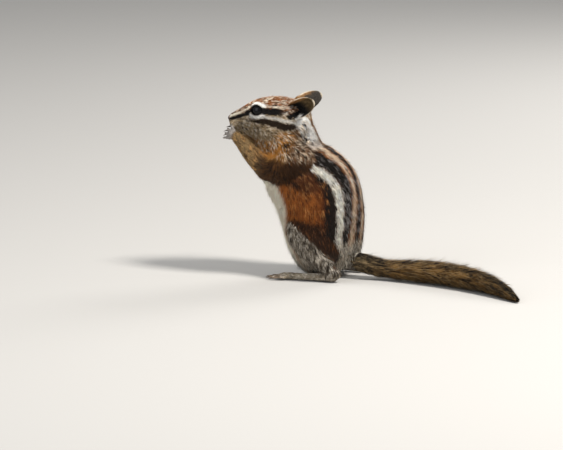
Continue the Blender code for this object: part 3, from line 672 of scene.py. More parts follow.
def leg_colours(points, kind, noise):
    """The thigh, grizzled before and brown behind, or the foreleg, ochre with a dark brown lower side by the
    elbow that is partly darker fur and partly painted shade.
    """
    x, y, z = points.T
    wave = (lattice_noise(points, 1.6, 12) - 0.5) * 1.6 + (noise - 0.5)
    if kind == "hindleg":
        tawny = within(points, TAWNY_AT, (3.2, 6.0, 4.2))
        inside = smoothstep(10.5, 7.5, np.abs(y + wave * 0.4)) * (1 - smoothstep(-2, 3, x))
        layers = (
            (GRIZZLE, thigh_front(points, wave)),
            (FLANK, smoothstep(-0.6, 0.8, above_fold(points) + wave * 0.8)),
            (TAWNY, (1 - smoothstep(0.6, 1.1, tawny + wave * 0.15)) * 0.75),
            (SHIN, (1 - smoothstep(6.0, 15.0, z + wave)) * 0.8),
            (BELLY, inside),
        )
        return layered(plain(THIGH_BROWN, points), layers)
    # Painted shade: the lower side of the arm is dark brown, partly for darker fur and partly for the shade
    # beneath it.
    shaded = smoothstep(53.2, 50.0, z - wave * 1.2) * smoothstep(-28.5, -23.5, x + wave)
    layers = (
        (NECK_TICKED, smoothstep(-13.0, -7.5, x + wave)),
        (ARM_BROWN_AND_SHADE, shaded * 0.95),
        (WRIST, smoothstep(-18.0, -27.0, x + wave)),
    )
    return layered(plain(ARM_OCHRE, points), layers)


def ear_colours(points, normals, sign):
    """Brown inside with a hollow darkened by painted shadow, grey with a tawny front outside, and a pale rim.
    """
    matrix, length = ear_frame(sign)
    e = moved(points, matrix.inverted())
    share = e[:, 0] / length
    front = e[:, 1] * -sign
    ragged = front + 1.2 * (lattice_noise(points, 0.5, 60) - 0.5)
    # Painted shadow: the cup is near black towards its root.
    inner_layers = (
        (EAR_CUP_SHADOW, 1 - smoothstep(0.46, 0.76, share + 0.05 * front)),
        (EAR_RUSTY, smoothstep(2.6, 3.6, front) * 0.7),
    )
    inner = layered(plain(EAR_BROWN, points), inner_layers)
    span = np.sqrt(np.clip(1 - ((share - EAR_WIDEST) / (1 - EAR_WIDEST)) ** 2, 0.02, 1)) * EAR_HALF_WIDTH
    rim = np.maximum(np.abs(front) / span, share)
    layers = (
        (EAR_ROOT_GREY, 1 - smoothstep(0.1, 0.5, share)),
        (EAR_TAWNY, smoothstep(2.2, 4.2, ragged)),
        (inner, smoothstep(-0.1, 0.35, normals @ np.array(matrix)[:3, 2])),
        (EAR_RIM, smoothstep(0.93, 0.99, rim) * smoothstep(0.25, 0.4, share)),
    )
    return layered(plain(EAR_GREY, points), layers)


def tail_colours(points, noise):
    """Ochre and blackish in patches, under the hairs."""
    dark = lattice_noise(points, 1.2, 20) * 0.5 + (noise > 0.6) * 0.5
    return over(plain(TAIL_OCHRE, points), TAIL_DARK, dark)


def foot_colours(points, noise):
    """Buff and brown, with paler toes."""
    layers = (
        (FOOT_DARK, lattice_noise(points, 1.0, 50) * 0.6),
        (TOE_SKIN, 1 - smoothstep(-14.0, -8.0, points[:, 0] + noise)),
    )
    return layered(plain(FOOT_BUFF, points), layers)


# The skin.
def arrays_of(obj):
    """Vertices in the animal's frame and triangles of an object."""
    mesh = obj.data
    mesh.calc_loop_triangles()
    points = np.empty(len(mesh.vertices) * 3, np.float32)
    mesh.vertices.foreach_get("co", points)
    triangles = np.empty(len(mesh.loop_triangles) * 3, np.int32)
    mesh.loop_triangles.foreach_get("vertices", triangles)
    points = points.reshape(-1, 3).astype(float) / MM - SHIFT
    return points, triangles.reshape(-1, 3)


def normals_of(points, triangles):
    """Smooth normals at the vertices."""
    a, b, c = (points[triangles[:, i]] for i in range(3))
    across = np.cross(b - a, c - a)
    total = np.zeros_like(points)
    for i in range(3):
        for axis in range(3):
            total[:, axis] += np.bincount(triangles[:, i], across[:, axis], len(points))
    return unit(total)


def linked(name, data):
    """An object of a mesh, light or camera, in the scene."""
    obj = bpy.data.objects.new(name, data)
    bpy.context.scene.collection.objects.link(obj)
    return obj


def mesh_object(name, points, faces, material=None):
    """A mesh object from millimetre points and faces, smooth if it has a material."""
    mesh = bpy.data.meshes.new(name)
    mesh.from_pydata(to_frame(points).tolist(), [], [tuple(f) for f in faces])
    if material:
        mesh.materials.append(material)
        mesh.shade_smooth()
    return linked(name, mesh)


def settle(obj):
    graph = bpy.context.evaluated_depsgraph_get()
    mesh = bpy.data.meshes.new_from_object(obj.evaluated_get(graph))
    obj.modifiers.clear()
    old = obj.data
    obj.data = mesh
    bpy.data.meshes.remove(old)


def ring(centre, across, up, radius, sides):
    """Points round a centre, in the plane of across and up."""
    turns = [2 * math.pi * k / sides for k in range(sides)]
    return [centre + (across * math.cos(turn) + up * math.sin(turn)) * radius for turn in turns]


def ring_faces(rings, sides, first=0):
    """Quads between rings of points that follow one another, and a face over each end."""
    faces = []
    last = first + (rings - 1) * sides
    for start in range(first, last, sides):
        for k in range(sides):
            j = (k + 1) % sides
            faces.append((start + k, start + j, start + sides + j, start + sides + k))
    faces.append(tuple(range(first, first + sides))[::-1])
    faces.append(tuple(range(last, last + sides)))
    return faces


def tube_arrays(rows, sides=12, widen=1.0):
    """Points and faces of a tube through rows of x, y, z, radius, rounded off at both ends."""
    rows = np.array(rows, float)
    centres = rows[:, :3]
    along = unit(np.gradient(centres, axis=0))
    ends = ((0.5, 0.86), (0.87, 0.5))
    levels = [(centres[0] - along[0] * rows[0, 3] * a, along[0], rows[0, 3] * b) for a, b in reversed(ends)]
    levels += [(c, w, r) for c, w, r in zip(centres, along, rows[:, 3])]
    levels += [(centres[-1] + along[-1] * rows[-1, 3] * a, along[-1], rows[-1, 3] * b) for a, b in ends]
    points = []
    for centre, way, radius in levels:
        level = unit(np.cross((0, 0, 1), way))
        points += ring(centre, level * widen, np.cross(way, level), radius, sides)
    return np.array(points), ring_faces(len(levels), sides)


def ellipsoid_arrays(centre, radii):
    """Points and faces of an ellipsoid with its axes along the frame's."""
    shape = bmesh.new()
    bmesh.ops.create_icosphere(shape, subdivisions=3, radius=1)
    points = np.array([v.co for v in shape.verts]) * radii + centre
    faces = [tuple(v.index for v in face.verts) for face in shape.faces]
    shape.free()
    return points, faces


def digits():
    """Root, direction, bend, length and radius of every finger and toe."""
    out = []
    for side, sign in SIDES:
        wrist, reach_to, palm_way = (np.array(v) for v in FOREPAW[side])
        along = unit(reach_to - wrist)
        palm_way = unit(palm_way - along * (palm_way @ along))
        across = np.cross(along, palm_way) * -sign
        length = np.linalg.norm(reach_to - wrist)
        knuckles = wrist + along * length * 0.42
        for i in range(FINGERS):
            place = i - (FINGERS - 1) / 2
            root = knuckles + across * place * 1.3 - along * 0.8
            way = unit(along + across * place * 0.2)
            reach = length * (0.56 - 0.05 * abs(place))
            out.append((root, way, palm_way * FINGER_BEND, reach, FINGER_RADIUS))
        line = [np.array(on_hips(mirrored(p, sign))) for p in FOOT]
        along = unit(line[-1] - line[-2])
        across = np.cross((0, 0, 1), along) * -sign
        for i in range(TOES):
            place = i - (TOES - 1) / 2
            turn = np.array(Matrix.Rotation(TOE_SPREAD * place * sign, 3, "Z"))
            way = turn @ along
            root = line[-1] + across * place * -1.25 - along * 0.4 * abs(place) + np.array((0, 0, -0.6))
            way[2] = 0.02
            reach = TOE_LENGTH * (1 - 0.09 * abs(place) ** 1.5)
            out.append((root, unit(way), np.array((0, 0, -0.03)), reach, TOE_RADIUS))
    return out


def digit_tube(root, way, bend, length, radius):
    """A finger or toe with a knuckle and a pad before its tip."""
    rows = []
    for share, thick in ((0.0, 1.1), (0.2, 0.95), (0.42, 1.05), (0.62, 0.86), (0.85, 0.98), (1.0, 0.8)):
        rows.append((*(root + way * length * share + bend * length * share**2), radius * thick))
    return tube_arrays(rows, 10)


def palm_tube(side):
    wrist, reach_to = (np.array(v) for v in FOREPAW[side][:2])
    along = unit(reach_to - wrist)
    length = np.linalg.norm(reach_to - wrist)
    back = wrist - along * 2.0
    heel = wrist + along * length * 0.1
    middle = wrist + along * length * 0.36
    return tube_arrays(((*back, 2.15), (*heel, 1.8), (*middle, 1.75)), 14, 1.15)


def fused_skin():
    """All the flesh and the tail's core as one closed skin, still at the coat's outline."""
    points, faces = [], []
    owner_points, owner_faces, owners = [], [], []

    def add(p, f):
        base = sum(len(q) for q in points)
        points.append(p)
        faces.extend(tuple(i + base for i in face) for face in f)

    def add_owner(p, triangles, index):
        base = sum(len(q) for q in owner_points)
        owner_points.append(p)
        owner_faces.extend([[i + base for i in face] for face in triangles])
        owners.extend([index] * len(triangles))

    for index, name in enumerate(FLESH):
        p, triangles = arrays_of(frame["nodes"][name])
        add_owner(p, triangles.tolist(), index)
        if kind_of(name) not in ("forepaw", "hindfoot"):
            add(p + normals_of(p, triangles) * GROWN, triangles.tolist())
    for centre, radii in SCRUFF:
        add(*ellipsoid_arrays(centre, radii))
    for side, sign in SIDES:
        add(*palm_tube(side))
        rows = [(*on_hips(mirrored(p[:3], sign)), p[3]) for p in FOOT_TUBE]
        add(*tube_arrays(rows, 16, 1.25))
    for digit in digits():
        add(*digit_tube(*digit))
    rows = TAIL[: int(0.96 * len(TAIL))].copy()
    rows[:, 3] *= TAIL_CORE + 0.35 * (1 - smoothstep(0.0, 0.14, np.arange(len(rows)) / len(TAIL)))
    rows = np.vstack([rows[0] - (4 * (rows[1] - rows[0])), rows])
    p, f = tube_arrays(rows)
    add(p, f)
    quads = [face for face in f if len(face) == 4]
    add_owner(p, [face[:3] for face in quads] + [(face[0], face[2], face[3]) for face in quads], len(FLESH))
    obj = mesh_object("skin", np.vstack(points), faces)
    remesh = obj.modifiers.new("fuse", "REMESH")
    remesh.mode = "VOXEL"
    remesh.voxel_size = VOXEL * MM
    smooth = obj.modifiers.new("soften", "SMOOTH")
    smooth.factor = 0.5
    smooth.iterations = 3
    settle(obj)
    keep_largest(obj)
    tree = BVHTree.FromPolygons(np.vstack(owner_points).tolist(), owner_faces)
    return obj, tree, np.array(owners)


def joins_softened(points, edges, owner):
    """The skin smoothed where limbs, neck and trunk meet, so that one runs into the next."""
    kinds = np.array(KINDS)[owner]
    soft = np.isin(kinds, ("torso", "neck", "foreleg", "hindleg"))
    soft |= (kinds == "head") & (in_head(points)[:, 0] > 24)
    meets = (owner[edges[:, 0]] != owner[edges[:, 1]]) & soft[edges[:, 0]] & soft[edges[:, 1]]
    near = np.zeros(len(points))
    near[edges[meets].ravel()] = 1
    near = np.clip(spread(near, edges, JOIN_WIDTH) * 5, 0, 1) * soft
    near = near * smoothstep(-31, -26, points[:, 0])
    for _ in range(JOIN_ROUNDS):
        middle = spread(points, edges, 1)
        points = points + (middle - points) * near[:, None]
    return points


def keep_largest(obj):
    """Drops closed surfaces left inside the skin."""
    mesh = obj.data
    edges = np.empty(len(mesh.edges) * 2, np.int32)
    mesh.edges.foreach_get("vertices", edges)
    edges = edges.reshape(-1, 2)
    label = np.arange(len(mesh.vertices))
    while True:
        low = np.minimum(label[edges[:, 0]], label[edges[:, 1]])
        new = label.copy()
        np.minimum.at(new, edges[:, 0], low)
        np.minimum.at(new, edges[:, 1], low)
        new = new[new]
        if (new == label).all():
            break
        label = new
    names, counts = np.unique(label, return_counts=True)
    if len(names) == 1:
        return
    drop = np.flatnonzero(label != names[np.argmax(counts)])
    shape = bmesh.new()
    shape.from_mesh(mesh)
    shape.verts.ensure_lookup_table()
    bmesh.ops.delete(shape, geom=[shape.verts[i] for i in drop], context="VERTS")
    shape.to_mesh(mesh)
    shape.free()


def spread(values, edges, rounds):
    """Values at the vertices, each averaged with its neighbours a number of times."""
    count = len(values)
    flat = values.reshape(count, -1).astype(float)
    share = np.bincount(edges.ravel(), minlength=count) + 1.0
    for _ in range(rounds):
        new = flat.copy()
        for axis in range(flat.shape[1]):
            new[:, axis] += np.bincount(edges[:, 0], flat[edges[:, 1], axis], count)
            new[:, axis] += np.bincount(edges[:, 1], flat[edges[:, 0], axis], count)
        flat = new / share[:, None]
    return flat.reshape(values.shape)


def kind_of(name):
    return name.split("_")[0]


def sign_of(name):
    return -1 if name.endswith("left") else 1


NAMES = (*FLESH, "tail")
KINDS = [kind_of(name) for name in NAMES]
TAIL_OWNER = NAMES.index("tail")


# Lines along which the hair of the head and thighs lies.
HEAD_LINE = ((-2, 0, 0), (38, 0, -5))
THIGH_LINE = ((-2, -14, 30), (10, -14.4, 2))


def lie_lines():
    """For each node, a line that its hairs follow."""
    spine = [(x, 0.0, z) for x, z in SPINE[::-8, :2]]
    lines = {"torso": spine, "neck": spine}
    lines["head"] = [HEAD_PLACE @ Vector(p) for p in HEAD_LINE]
    lines["tail"] = [tuple(row[:3]) for row in TAIL]
    for side, sign in SIDES:
        wrist, tips, _ = FOREPAW[side]
        lines["foreleg_" + side] = [mirrored(SHOULDER, sign), mirrored(ELBOW, sign), wrist]
        lines["forepaw_" + side] = [wrist, tips]
        lines["hindleg_" + side] = [on_hips(mirrored(p, sign)) for p in THIGH_LINE]
        lines["hindfoot_" + side] = [on_hips(mirrored(p, sign)) for p in FOOT]
        lines["ear_" + side] = [HEAD_PLACE @ Vector(mirrored(p, sign)) for p in (EAR_BASE, EAR_TIP)]
    return lines


class Skin:
    """The skin's mesh with what the coat needs to know at each vertex."""

    def __init__(self):
        self.obj, owners_tree, owners = fused_skin()
        points, triangles = arrays_of(self.obj)
        self.triangles = triangles
        edges = np.empty(len(self.obj.data.edges) * 2, np.int32)
        self.obj.data.edges.foreach_get("vertices", edges)
        self.edges = edges.reshape(-1, 2)
        owner = np.array([owners[owners_tree.find_nearest(p)[2]] for p in points.tolist()])
        points = joins_softened(points, self.edges, owner)
        normals = normals_of(points, triangles)
        self.owner = owner
        # The depth of the coat, the hairs' length, width and density.
        kinds = np.array(KINDS)[owner]
        fields = np.array([COAT[kind] for kind in KINDS])[owner]
        h = in_head(points)
        head = kinds == "head"
        toward_nose = smoothstep(15.0, 2.0, h[:, 0])
        for column, change in enumerate(NOSE_CHANGES):
            fields[head, column] *= (1 + change * toward_nose)[head]
        self.eye_away = np.full(len(points), 1e9)
        for _, sign in SIDES:
            away = np.linalg.norm(points - np.array(eye_frame(sign).translation), axis=1)
            self.eye_away = np.minimum(self.eye_away, away)
        close = smoothstep(7.0, EYE_RADIUS + 0.8, self.eye_away)
        fields[:, 0] *= 1 - 0.8 * close
        fields[:, 1] *= 1 - 0.65 * close
        fields = spread(fields, self.edges, FIELD_ROUNDS)
        tail = kinds == "tail"
        lines = lie_lines()
        ways = np.zeros_like(points)
        for i, name in enumerate(NAMES):
            chosen = owner == i
            if chosen.any():
                ways[chosen] = way_along(points[chosen], lines[name])
        # Hair at the root of the ears lies as on the head, and over the shoulders as on the body.
        for i, name in enumerate(NAMES):
            if kind_of(name) == "ear":
                matrix, reach = ear_frame(sign_of(name))
                share = moved(points, matrix.inverted())[:, 0] / reach
                root = (owner == i) & (share < 0.4)
                ways[root] = way_along(points[root], lines["head"])
            if kind_of(name) == "foreleg":
                arm = owner == i
                down = way_along(points[arm], lines["torso"])
                weight = smoothstep(-19.0, -9.0, points[arm, 0])[:, None]
                ways[arm] = unit(ways[arm] * (1 - weight) + down * weight)
        under = head & (h[:, 2] < -2)
        down = smoothstep(-3.0, -8.0, h[:, 2]) * smoothstep(3.0, 9.0, h[:, 0])
        ways[under] += np.array((0.0, 0.0, -1.6)) * down[under][:, None]
        chest = np.isin(kinds, ("neck", "torso")) & (normals[:, 0] < -0.2)
        ways[chest] += np.array((0.0, 0.0, -0.8))
        for _, sign in SIDES:
            centre = np.array(eye_frame(sign).translation)
            away = points - centre
            reach = np.linalg.norm(away, axis=1)
            push = smoothstep(EYE_RADIUS + 4.5, EYE_RADIUS + 0.5, reach)
            ways += unit(away) * (push * 0.9)[:, None]
        ways = spread(unit(ways), self.edges, WAY_ROUNDS)
        ungrown = tail | np.isin(kinds, ("forepaw", "hindfoot"))
        inward = np.where(ungrown, 0.0, GROWN) + fields[:, 0] * 0.96
        inward = spread(inward, self.edges, INWARD_ROUNDS)
        skin_points = points - normals * inward[:, None]
        skin_points[:, 2] = np.maximum(skin_points[:, 2], 0.03)
        self.points = skin_points
        self.normals = normals_of(skin_points, triangles)
        self.fields = fields
        ways -= self.normals * (ways * self.normals).sum(1)[:, None]
        self.ways = unit(ways)
        self.obj.data.vertices.foreach_set("co", to_frame(skin_points).astype(np.float32).ravel())
        self.obj.data.update()


def markings(points, normals, owner, noise):
    """The animal's colours at points whose node is known. Skin and hairs share it."""
    colours = np.zeros((len(points), 3))
    for i, name in enumerate(NAMES):
        chosen = owner == i
        if not chosen.any():
            continue
        p, r = points[chosen], noise[chosen]
        kind = kind_of(name)
        if kind == "head":
            paint = head_colours(p, r)
        elif kind in ("torso", "neck"):
            paint = trunk_colours(p, r)
        elif kind in ("foreleg", "hindleg"):
            paint = leg_colours(p, kind, r)
        elif kind == "ear":
            paint = ear_colours(p, normals[chosen], sign_of(name))
        elif kind == "tail":
            paint = tail_colours(p, r)
        elif kind == "hindfoot":
            paint = foot_colours(p, r)
        else:
            paint = plain(PAW, p)
        colours[chosen] = paint
    return blended_neck(points, colours)


def blended_neck(points, colours):
    """The white patch behind each ear, which runs from the head down the neck."""
    away, share = near_line(in_half_head(points), NAPE_WHITE)
    wave = (lattice_noise(points, 1.2, 30) - 0.5) * 1.2
    amount = 1 - smoothstep(2.9, 4.2, away + wave)
    return over(colours, NAPE_PATCH, amount * (1 - 0.5 * smoothstep(0.7, 1.0, share)))


# The coat.
HAIR_FACES = np.array([(0, 1, 2), (0, 2, 3), (0, 3, 1), (4, 2, 1), (4, 3, 2), (4, 1, 3)])
HAIR_PATCH = np.array([(-0.5, 0.0), (0.0, -0.5), (0.0, 0.0), (0.0, 0.5), (0.5, 0.0)]) * 0.003


def hair_mesh(name, roots, middles, tips, sides, ups, colours, patches, material):
    """Hairs as closed spindles: a root point, a three-sided middle and a tip.

    sides and ups reach from the middle to its corners. colours holds one for the root,
    the middle and the tip of each hair. patches is each root's place on the unwrap."""
    count = len(roots)
    verts = np.stack([roots, middles - sides - ups, middles + ups * 1.4, middles + sides - ups, tips], axis=1)
    mesh = bpy.data.meshes.new(name)
    mesh.vertices.add(count * 5)
    mesh.vertices.foreach_set("co", to_frame(verts.reshape(-1, 3)).astype(np.float32).ravel())
    faces = (HAIR_FACES[None] + (np.arange(count) * 5)[:, None, None]).reshape(-1, 3)
    mesh.loops.add(len(faces) * 3)
    mesh.loops.foreach_set("vertex_index", faces.astype(np.int32).ravel())
    mesh.polygons.add(len(faces))
    mesh.polygons.foreach_set("loop_start", np.arange(0, len(faces) * 3, 3, dtype=np.int32))
    mesh.polygons.foreach_set("use_smooth", np.ones(len(faces), bool))
    mesh.update(calc_edges=True)
    tint = np.ones((count, 5, 4), np.float32)
    tint[:, 0, :3] = colours[:, 0]
    tint[:, 1:4, :3] = colours[:, 1][:, None]
    tint[:, 4, :3] = colours[:, 2]
    layer = mesh.color_attributes.new("Markings", "FLOAT_COLOR", "POINT")
    layer.data.foreach_set("color", tint.ravel())
    corners = (patches[:, None, None] + HAIR_PATCH[HAIR_FACES][None]).reshape(-1, 2)
    unwrap = mesh.uv_layers.new(name="OFBake")
    unwrap.data.foreach_set("uv", corners.astype(np.float32).ravel())
    mesh.materials.append(material)
    return linked(name, mesh)


def sampled(skin, weights, count, rng):
    """Random places on the skin: triangle and the shares of its corners."""
    p = skin.points[skin.triangles]
    area = np.linalg.norm(np.cross(p[:, 1] - p[:, 0], p[:, 2] - p[:, 0]), axis=1) / 2
    chance = area * weights[skin.triangles].mean(axis=1)
    if count is None:
        count = int(chance.sum() * SHARE)
    picked = rng.choice(len(chance), count, p=chance / chance.sum())
    a, b = rng.random(count), rng.random(count)
    flip = a + b > 1
    a, b = np.where(flip, 1 - a, a), np.where(flip, 1 - b, b)
    return picked, np.stack([1 - a - b, a, b], axis=1)


def at_places(values, skin, picked, shares):
    """Vertex values read at sampled places."""
    corners = values[skin.triangles[picked]]
    if corners.ndim == 2:
        return (corners * shares).sum(axis=1)
    return (corners * shares[:, :, None]).sum(axis=1)


def nearest(tree, points):
    """Nearest point of the skin and its normal, for each point."""
    places = np.empty_like(points)
    normals = np.empty_like(points)
    for i, p in enumerate(points.tolist()):
        place, normal, _, _ = tree.find_nearest(p)
        places[i] = place
        normals[i] = normal
    return places, normals


def in_clumps(roots, tips, ways, every, pull, rng):
    """Tips drawn together in clumps, so that the coat breaks into fine locks."""
    centres = rng.choice(len(roots), max(1, len(roots) // every), replace=False)
    tree = KDTree(len(centres))
    for i, c in enumerate(centres):
        tree.insert(roots[c], i)
    tree.balance()
    own = np.array([centres[tree.find(r)[1]] for r in roots.tolist()])
    gap = roots[own] - roots
    gap -= ways * (gap * ways).sum(1)[:, None]
    reach = np.linalg.norm(gap, axis=1, keepdims=True)
    gap *= np.minimum(1, 1.2 / np.maximum(reach, 1e-6))
    return tips + gap * pull, gap, own


def ticking(points, owner, colours, clump, rng):
    """Pale and dark hairs among the others, where the coat is grizzled."""
    s, angle, arc = on_spine(points)
    turn = np.abs(angle)
    x, z = points[:, 0], points[:, 2]
    kinds = np.array(KINDS)[owner]
    head, arm, leg, foot = ((kinds == k).astype(float) for k in ("head", "foreleg", "hindleg", "hindfoot"))
    trunk = np.isin(kinds, ("torso", "neck")).astype(float)
    bright = colours.mean(axis=1)
    dark = (bright < 0.1).astype(float)
    lit = (bright > 0.1).astype(float)
    forward = 1 - smoothstep(-1.5, 1.5, thigh_edge(points))
    side = band(turn, 53, 117, 3)
    low = 1 - smoothstep(24.5, 27, z)
    thigh = np.maximum(leg, trunk * low * side)
    neck = smoothstep(-20, -9, x) * smoothstep(49.5, 52.5, z) * band(turn, 18, 124, 5)
    neck = neck * np.maximum(trunk * smoothstep(46, 49, s), arm)
    back = trunk * (1 - smoothstep(46, 49, s)) * smoothstep(12, 16, s) * (1 - smoothstep(48, 54, turn))
    middle = (0.25 + 0.75 * band(s, 17, 36, 3)) * (np.abs(arc) < 12.8)
    weights = {
        "thigh front": thigh * forward,
        "rump": trunk * (1 - smoothstep(12, 16, s)) * (1 - smoothstep(114, 120, turn)),
        "neck": neck,
        "arm": arm * (1 - neck) * lit,
        # The dark part of the arm, which holds painted shade.
        "shaded dark of arm": arm * (1 - neck) * (1 - lit),
        "shoulder": trunk * band(s, 36.5, 48, 1.0) * band(turn, 58, 114, 4),
        "cheek": head * (bright > 0.12) * (bright < 0.55),
        "flank": trunk * side * (1 - low) * (1 - smoothstep(36.5, 40, s)),
        "dark stripes": back * dark * middle,
        "pale stripes": back * (1 - dark),
        "thigh back": thigh * (1 - forward),
        "crown": head * (bright <= 0.12) * (bright > 0.03),
        "foot": foot,
    }
    count = len(points)
    together = rng.random(count) < TICKS_TOGETHER
    draw = np.where(together, rng.random(count)[clump], rng.random(count))
    for place, (dark_share, dark_paint, pale_share, pale_paint) in TICKS.items():
        colours = np.where((draw < weights[place] * dark_share)[:, None], linear(dark_paint), colours)
        colours = np.where((draw > 1 - weights[place] * pale_share)[:, None], linear(pale_paint), colours)
    return colours


def body_coat(skin, tree, unwrap, material):
    """Short hairs over everything but the tail, nose and eyes."""
    rng = np.random.default_rng(SEED)
    density = skin.fields[:, 3].copy()
    density[skin.owner == TAIL_OWNER] = 0
    h = in_half_head(skin.points)
    density[within(h, NOSE_MIDDLE, (1.6, 1.6, 1.5)) < 1] = 0
    density[skin.eye_away < EYE_RADIUS + 0.42] = 0
    for _, sign in SIDES:
        q = moved(skin.points, eye_frame(sign).inverted())
        opening = np.hypot(q[:, 0] / (LID_OPENING[0] + 0.25), q[:, 1] / (LID_OPENING[1] + 0.25))
        density[(opening < 1) & (q[:, 2] > 0)] = 0
    density[near_line(h, MOUTH)[0] < 0.3] = 0
    picked, shares = sampled(skin, density, None, rng)
    roots = at_places(skin.points, skin, picked, shares)
    normals = unit(at_places(skin.normals, skin, picked, shares))
    ways = unit(at_places(skin.ways, skin, picked, shares))
    fields = at_places(skin.fields, skin, picked, shares)
    corner = np.argmax(shares, axis=1)
    owner = skin.owner[skin.triangles[picked, corner]]
    patches = (unwrap[picked] * shares[:, :, None]).sum(axis=1)
    count = len(roots)
    depth, length, width = fields[:, 0], fields[:, 1], fields[:, 2]
    length = length * rng.uniform(0.7, 1.15, count)
    on_trunk = owner == KINDS.index("torso")
    s, angle, _ = on_spine(roots)
    belly = on_trunk * smoothstep(106, 128, np.abs(angle))
    rump = on_trunk * (1 - smoothstep(9, 17, s)) * (1 - belly)
    length = length * (1 + 0.25 * belly)
    depth = depth * (1 + 0.5 * belly)
    side = np.cross(normals, ways)
    sway = rng.normal(0, 0.13, count) * (1 + 1.6 * rump) + (lattice_noise(roots, 2.4, 40) - 0.5) * 0.5
    ways = unit(ways + side * sway[:, None])
    layer = rng.uniform(0.35, 1.0, count) ** 0.8
    half, half_normals = nearest(tree, roots + ways * (length * 0.5)[:, None])
    middles = half + half_normals * (np.maximum(depth, 0.1) * 0.62 * layer + 0.03)[:, None]
    onward = unit(half - roots)
    ends, end_normals = nearest(tree, half + onward * (length * 0.5)[:, None])
    tips = ends + end_normals * (np.maximum(depth, 0.12) * layer + 0.02)[:, None]
    tips, gap, own = in_clumps(roots, tips, ways, TO_A_CLUMP, 0.5, rng)
    stray = (rng.random(count) < 0.09 + 0.22 * rump + 0.16 * belly) * rng.uniform(0.25, 1.0, count)
    tips = tips + end_normals * (stray * np.minimum(1.6, depth * 1.3))[:, None]
    middles = middles + gap * 0.2
    roots = roots - normals * 0.12
    spin = rng.normal(0, 0.35, count)
    side = unit(np.cross(half_normals, ways))
    tilted = side * np.cos(spin)[:, None] + half_normals * np.sin(spin)[:, None]
    upright = half_normals * np.cos(spin)[:, None] - side * np.sin(spin)[:, None]
    wide = width * rng.uniform(0.75, 1.2, count) / 2 * (1 - 0.4 * (stray > 0))
    noise = rng.random(count)
    shown = middles * 0.7 + roots * 0.3
    colours = markings(shown, normals, owner, noise)
    _, _, clump = in_clumps(roots, tips, ways, TO_A_TICK, 0.0, rng)
    colours = ticking(shown, owner, colours, clump, rng)
    shade = rng.uniform(0.82, 1.14, count)[:, None]
    clump_shade = rng.uniform(0.9, 1.1, count)[own][:, None]
    middle_colours = np.clip(colours * shade * clump_shade, 0.002, 0.9)
    # Hairs darken towards the root: partly the dark bases of real fur, partly painted shade deep in the coat.
    # Pale hairs darken less.
    bright = middle_colours.mean(axis=1, keepdims=True)
    root_colours = middle_colours * (0.55 + 0.4 * smoothstep(0.15, 0.6, bright))
    tip_colours = np.clip(middle_colours * rng.uniform(0.95, 1.3, count)[:, None], 0, 0.93)
    tint = np.stack([root_colours, middle_colours, tip_colours], axis=1)
    for verts in (middles, tips):
        verts[:, 2] = np.maximum(verts[:, 2], LOWEST_HAIR)
    order = np.argsort(owner * 1000 - roots[:, 2], kind="stable")
    pieces = []
    for number, start in enumerate(range(0, count, MOST_HAIRS)):
        i = order[start : start + MOST_HAIRS]
        pieces.append(
            hair_mesh(
                f"coat_{number + 1:02d}",
                roots[i],
                middles[i],
                tips[i],
                tilted[i] * wide[i][:, None],
                upright[i] * wide[i][:, None] * 0.3,
                tint[i],
                patches[i],
                material,
            )
        )
    return pieces


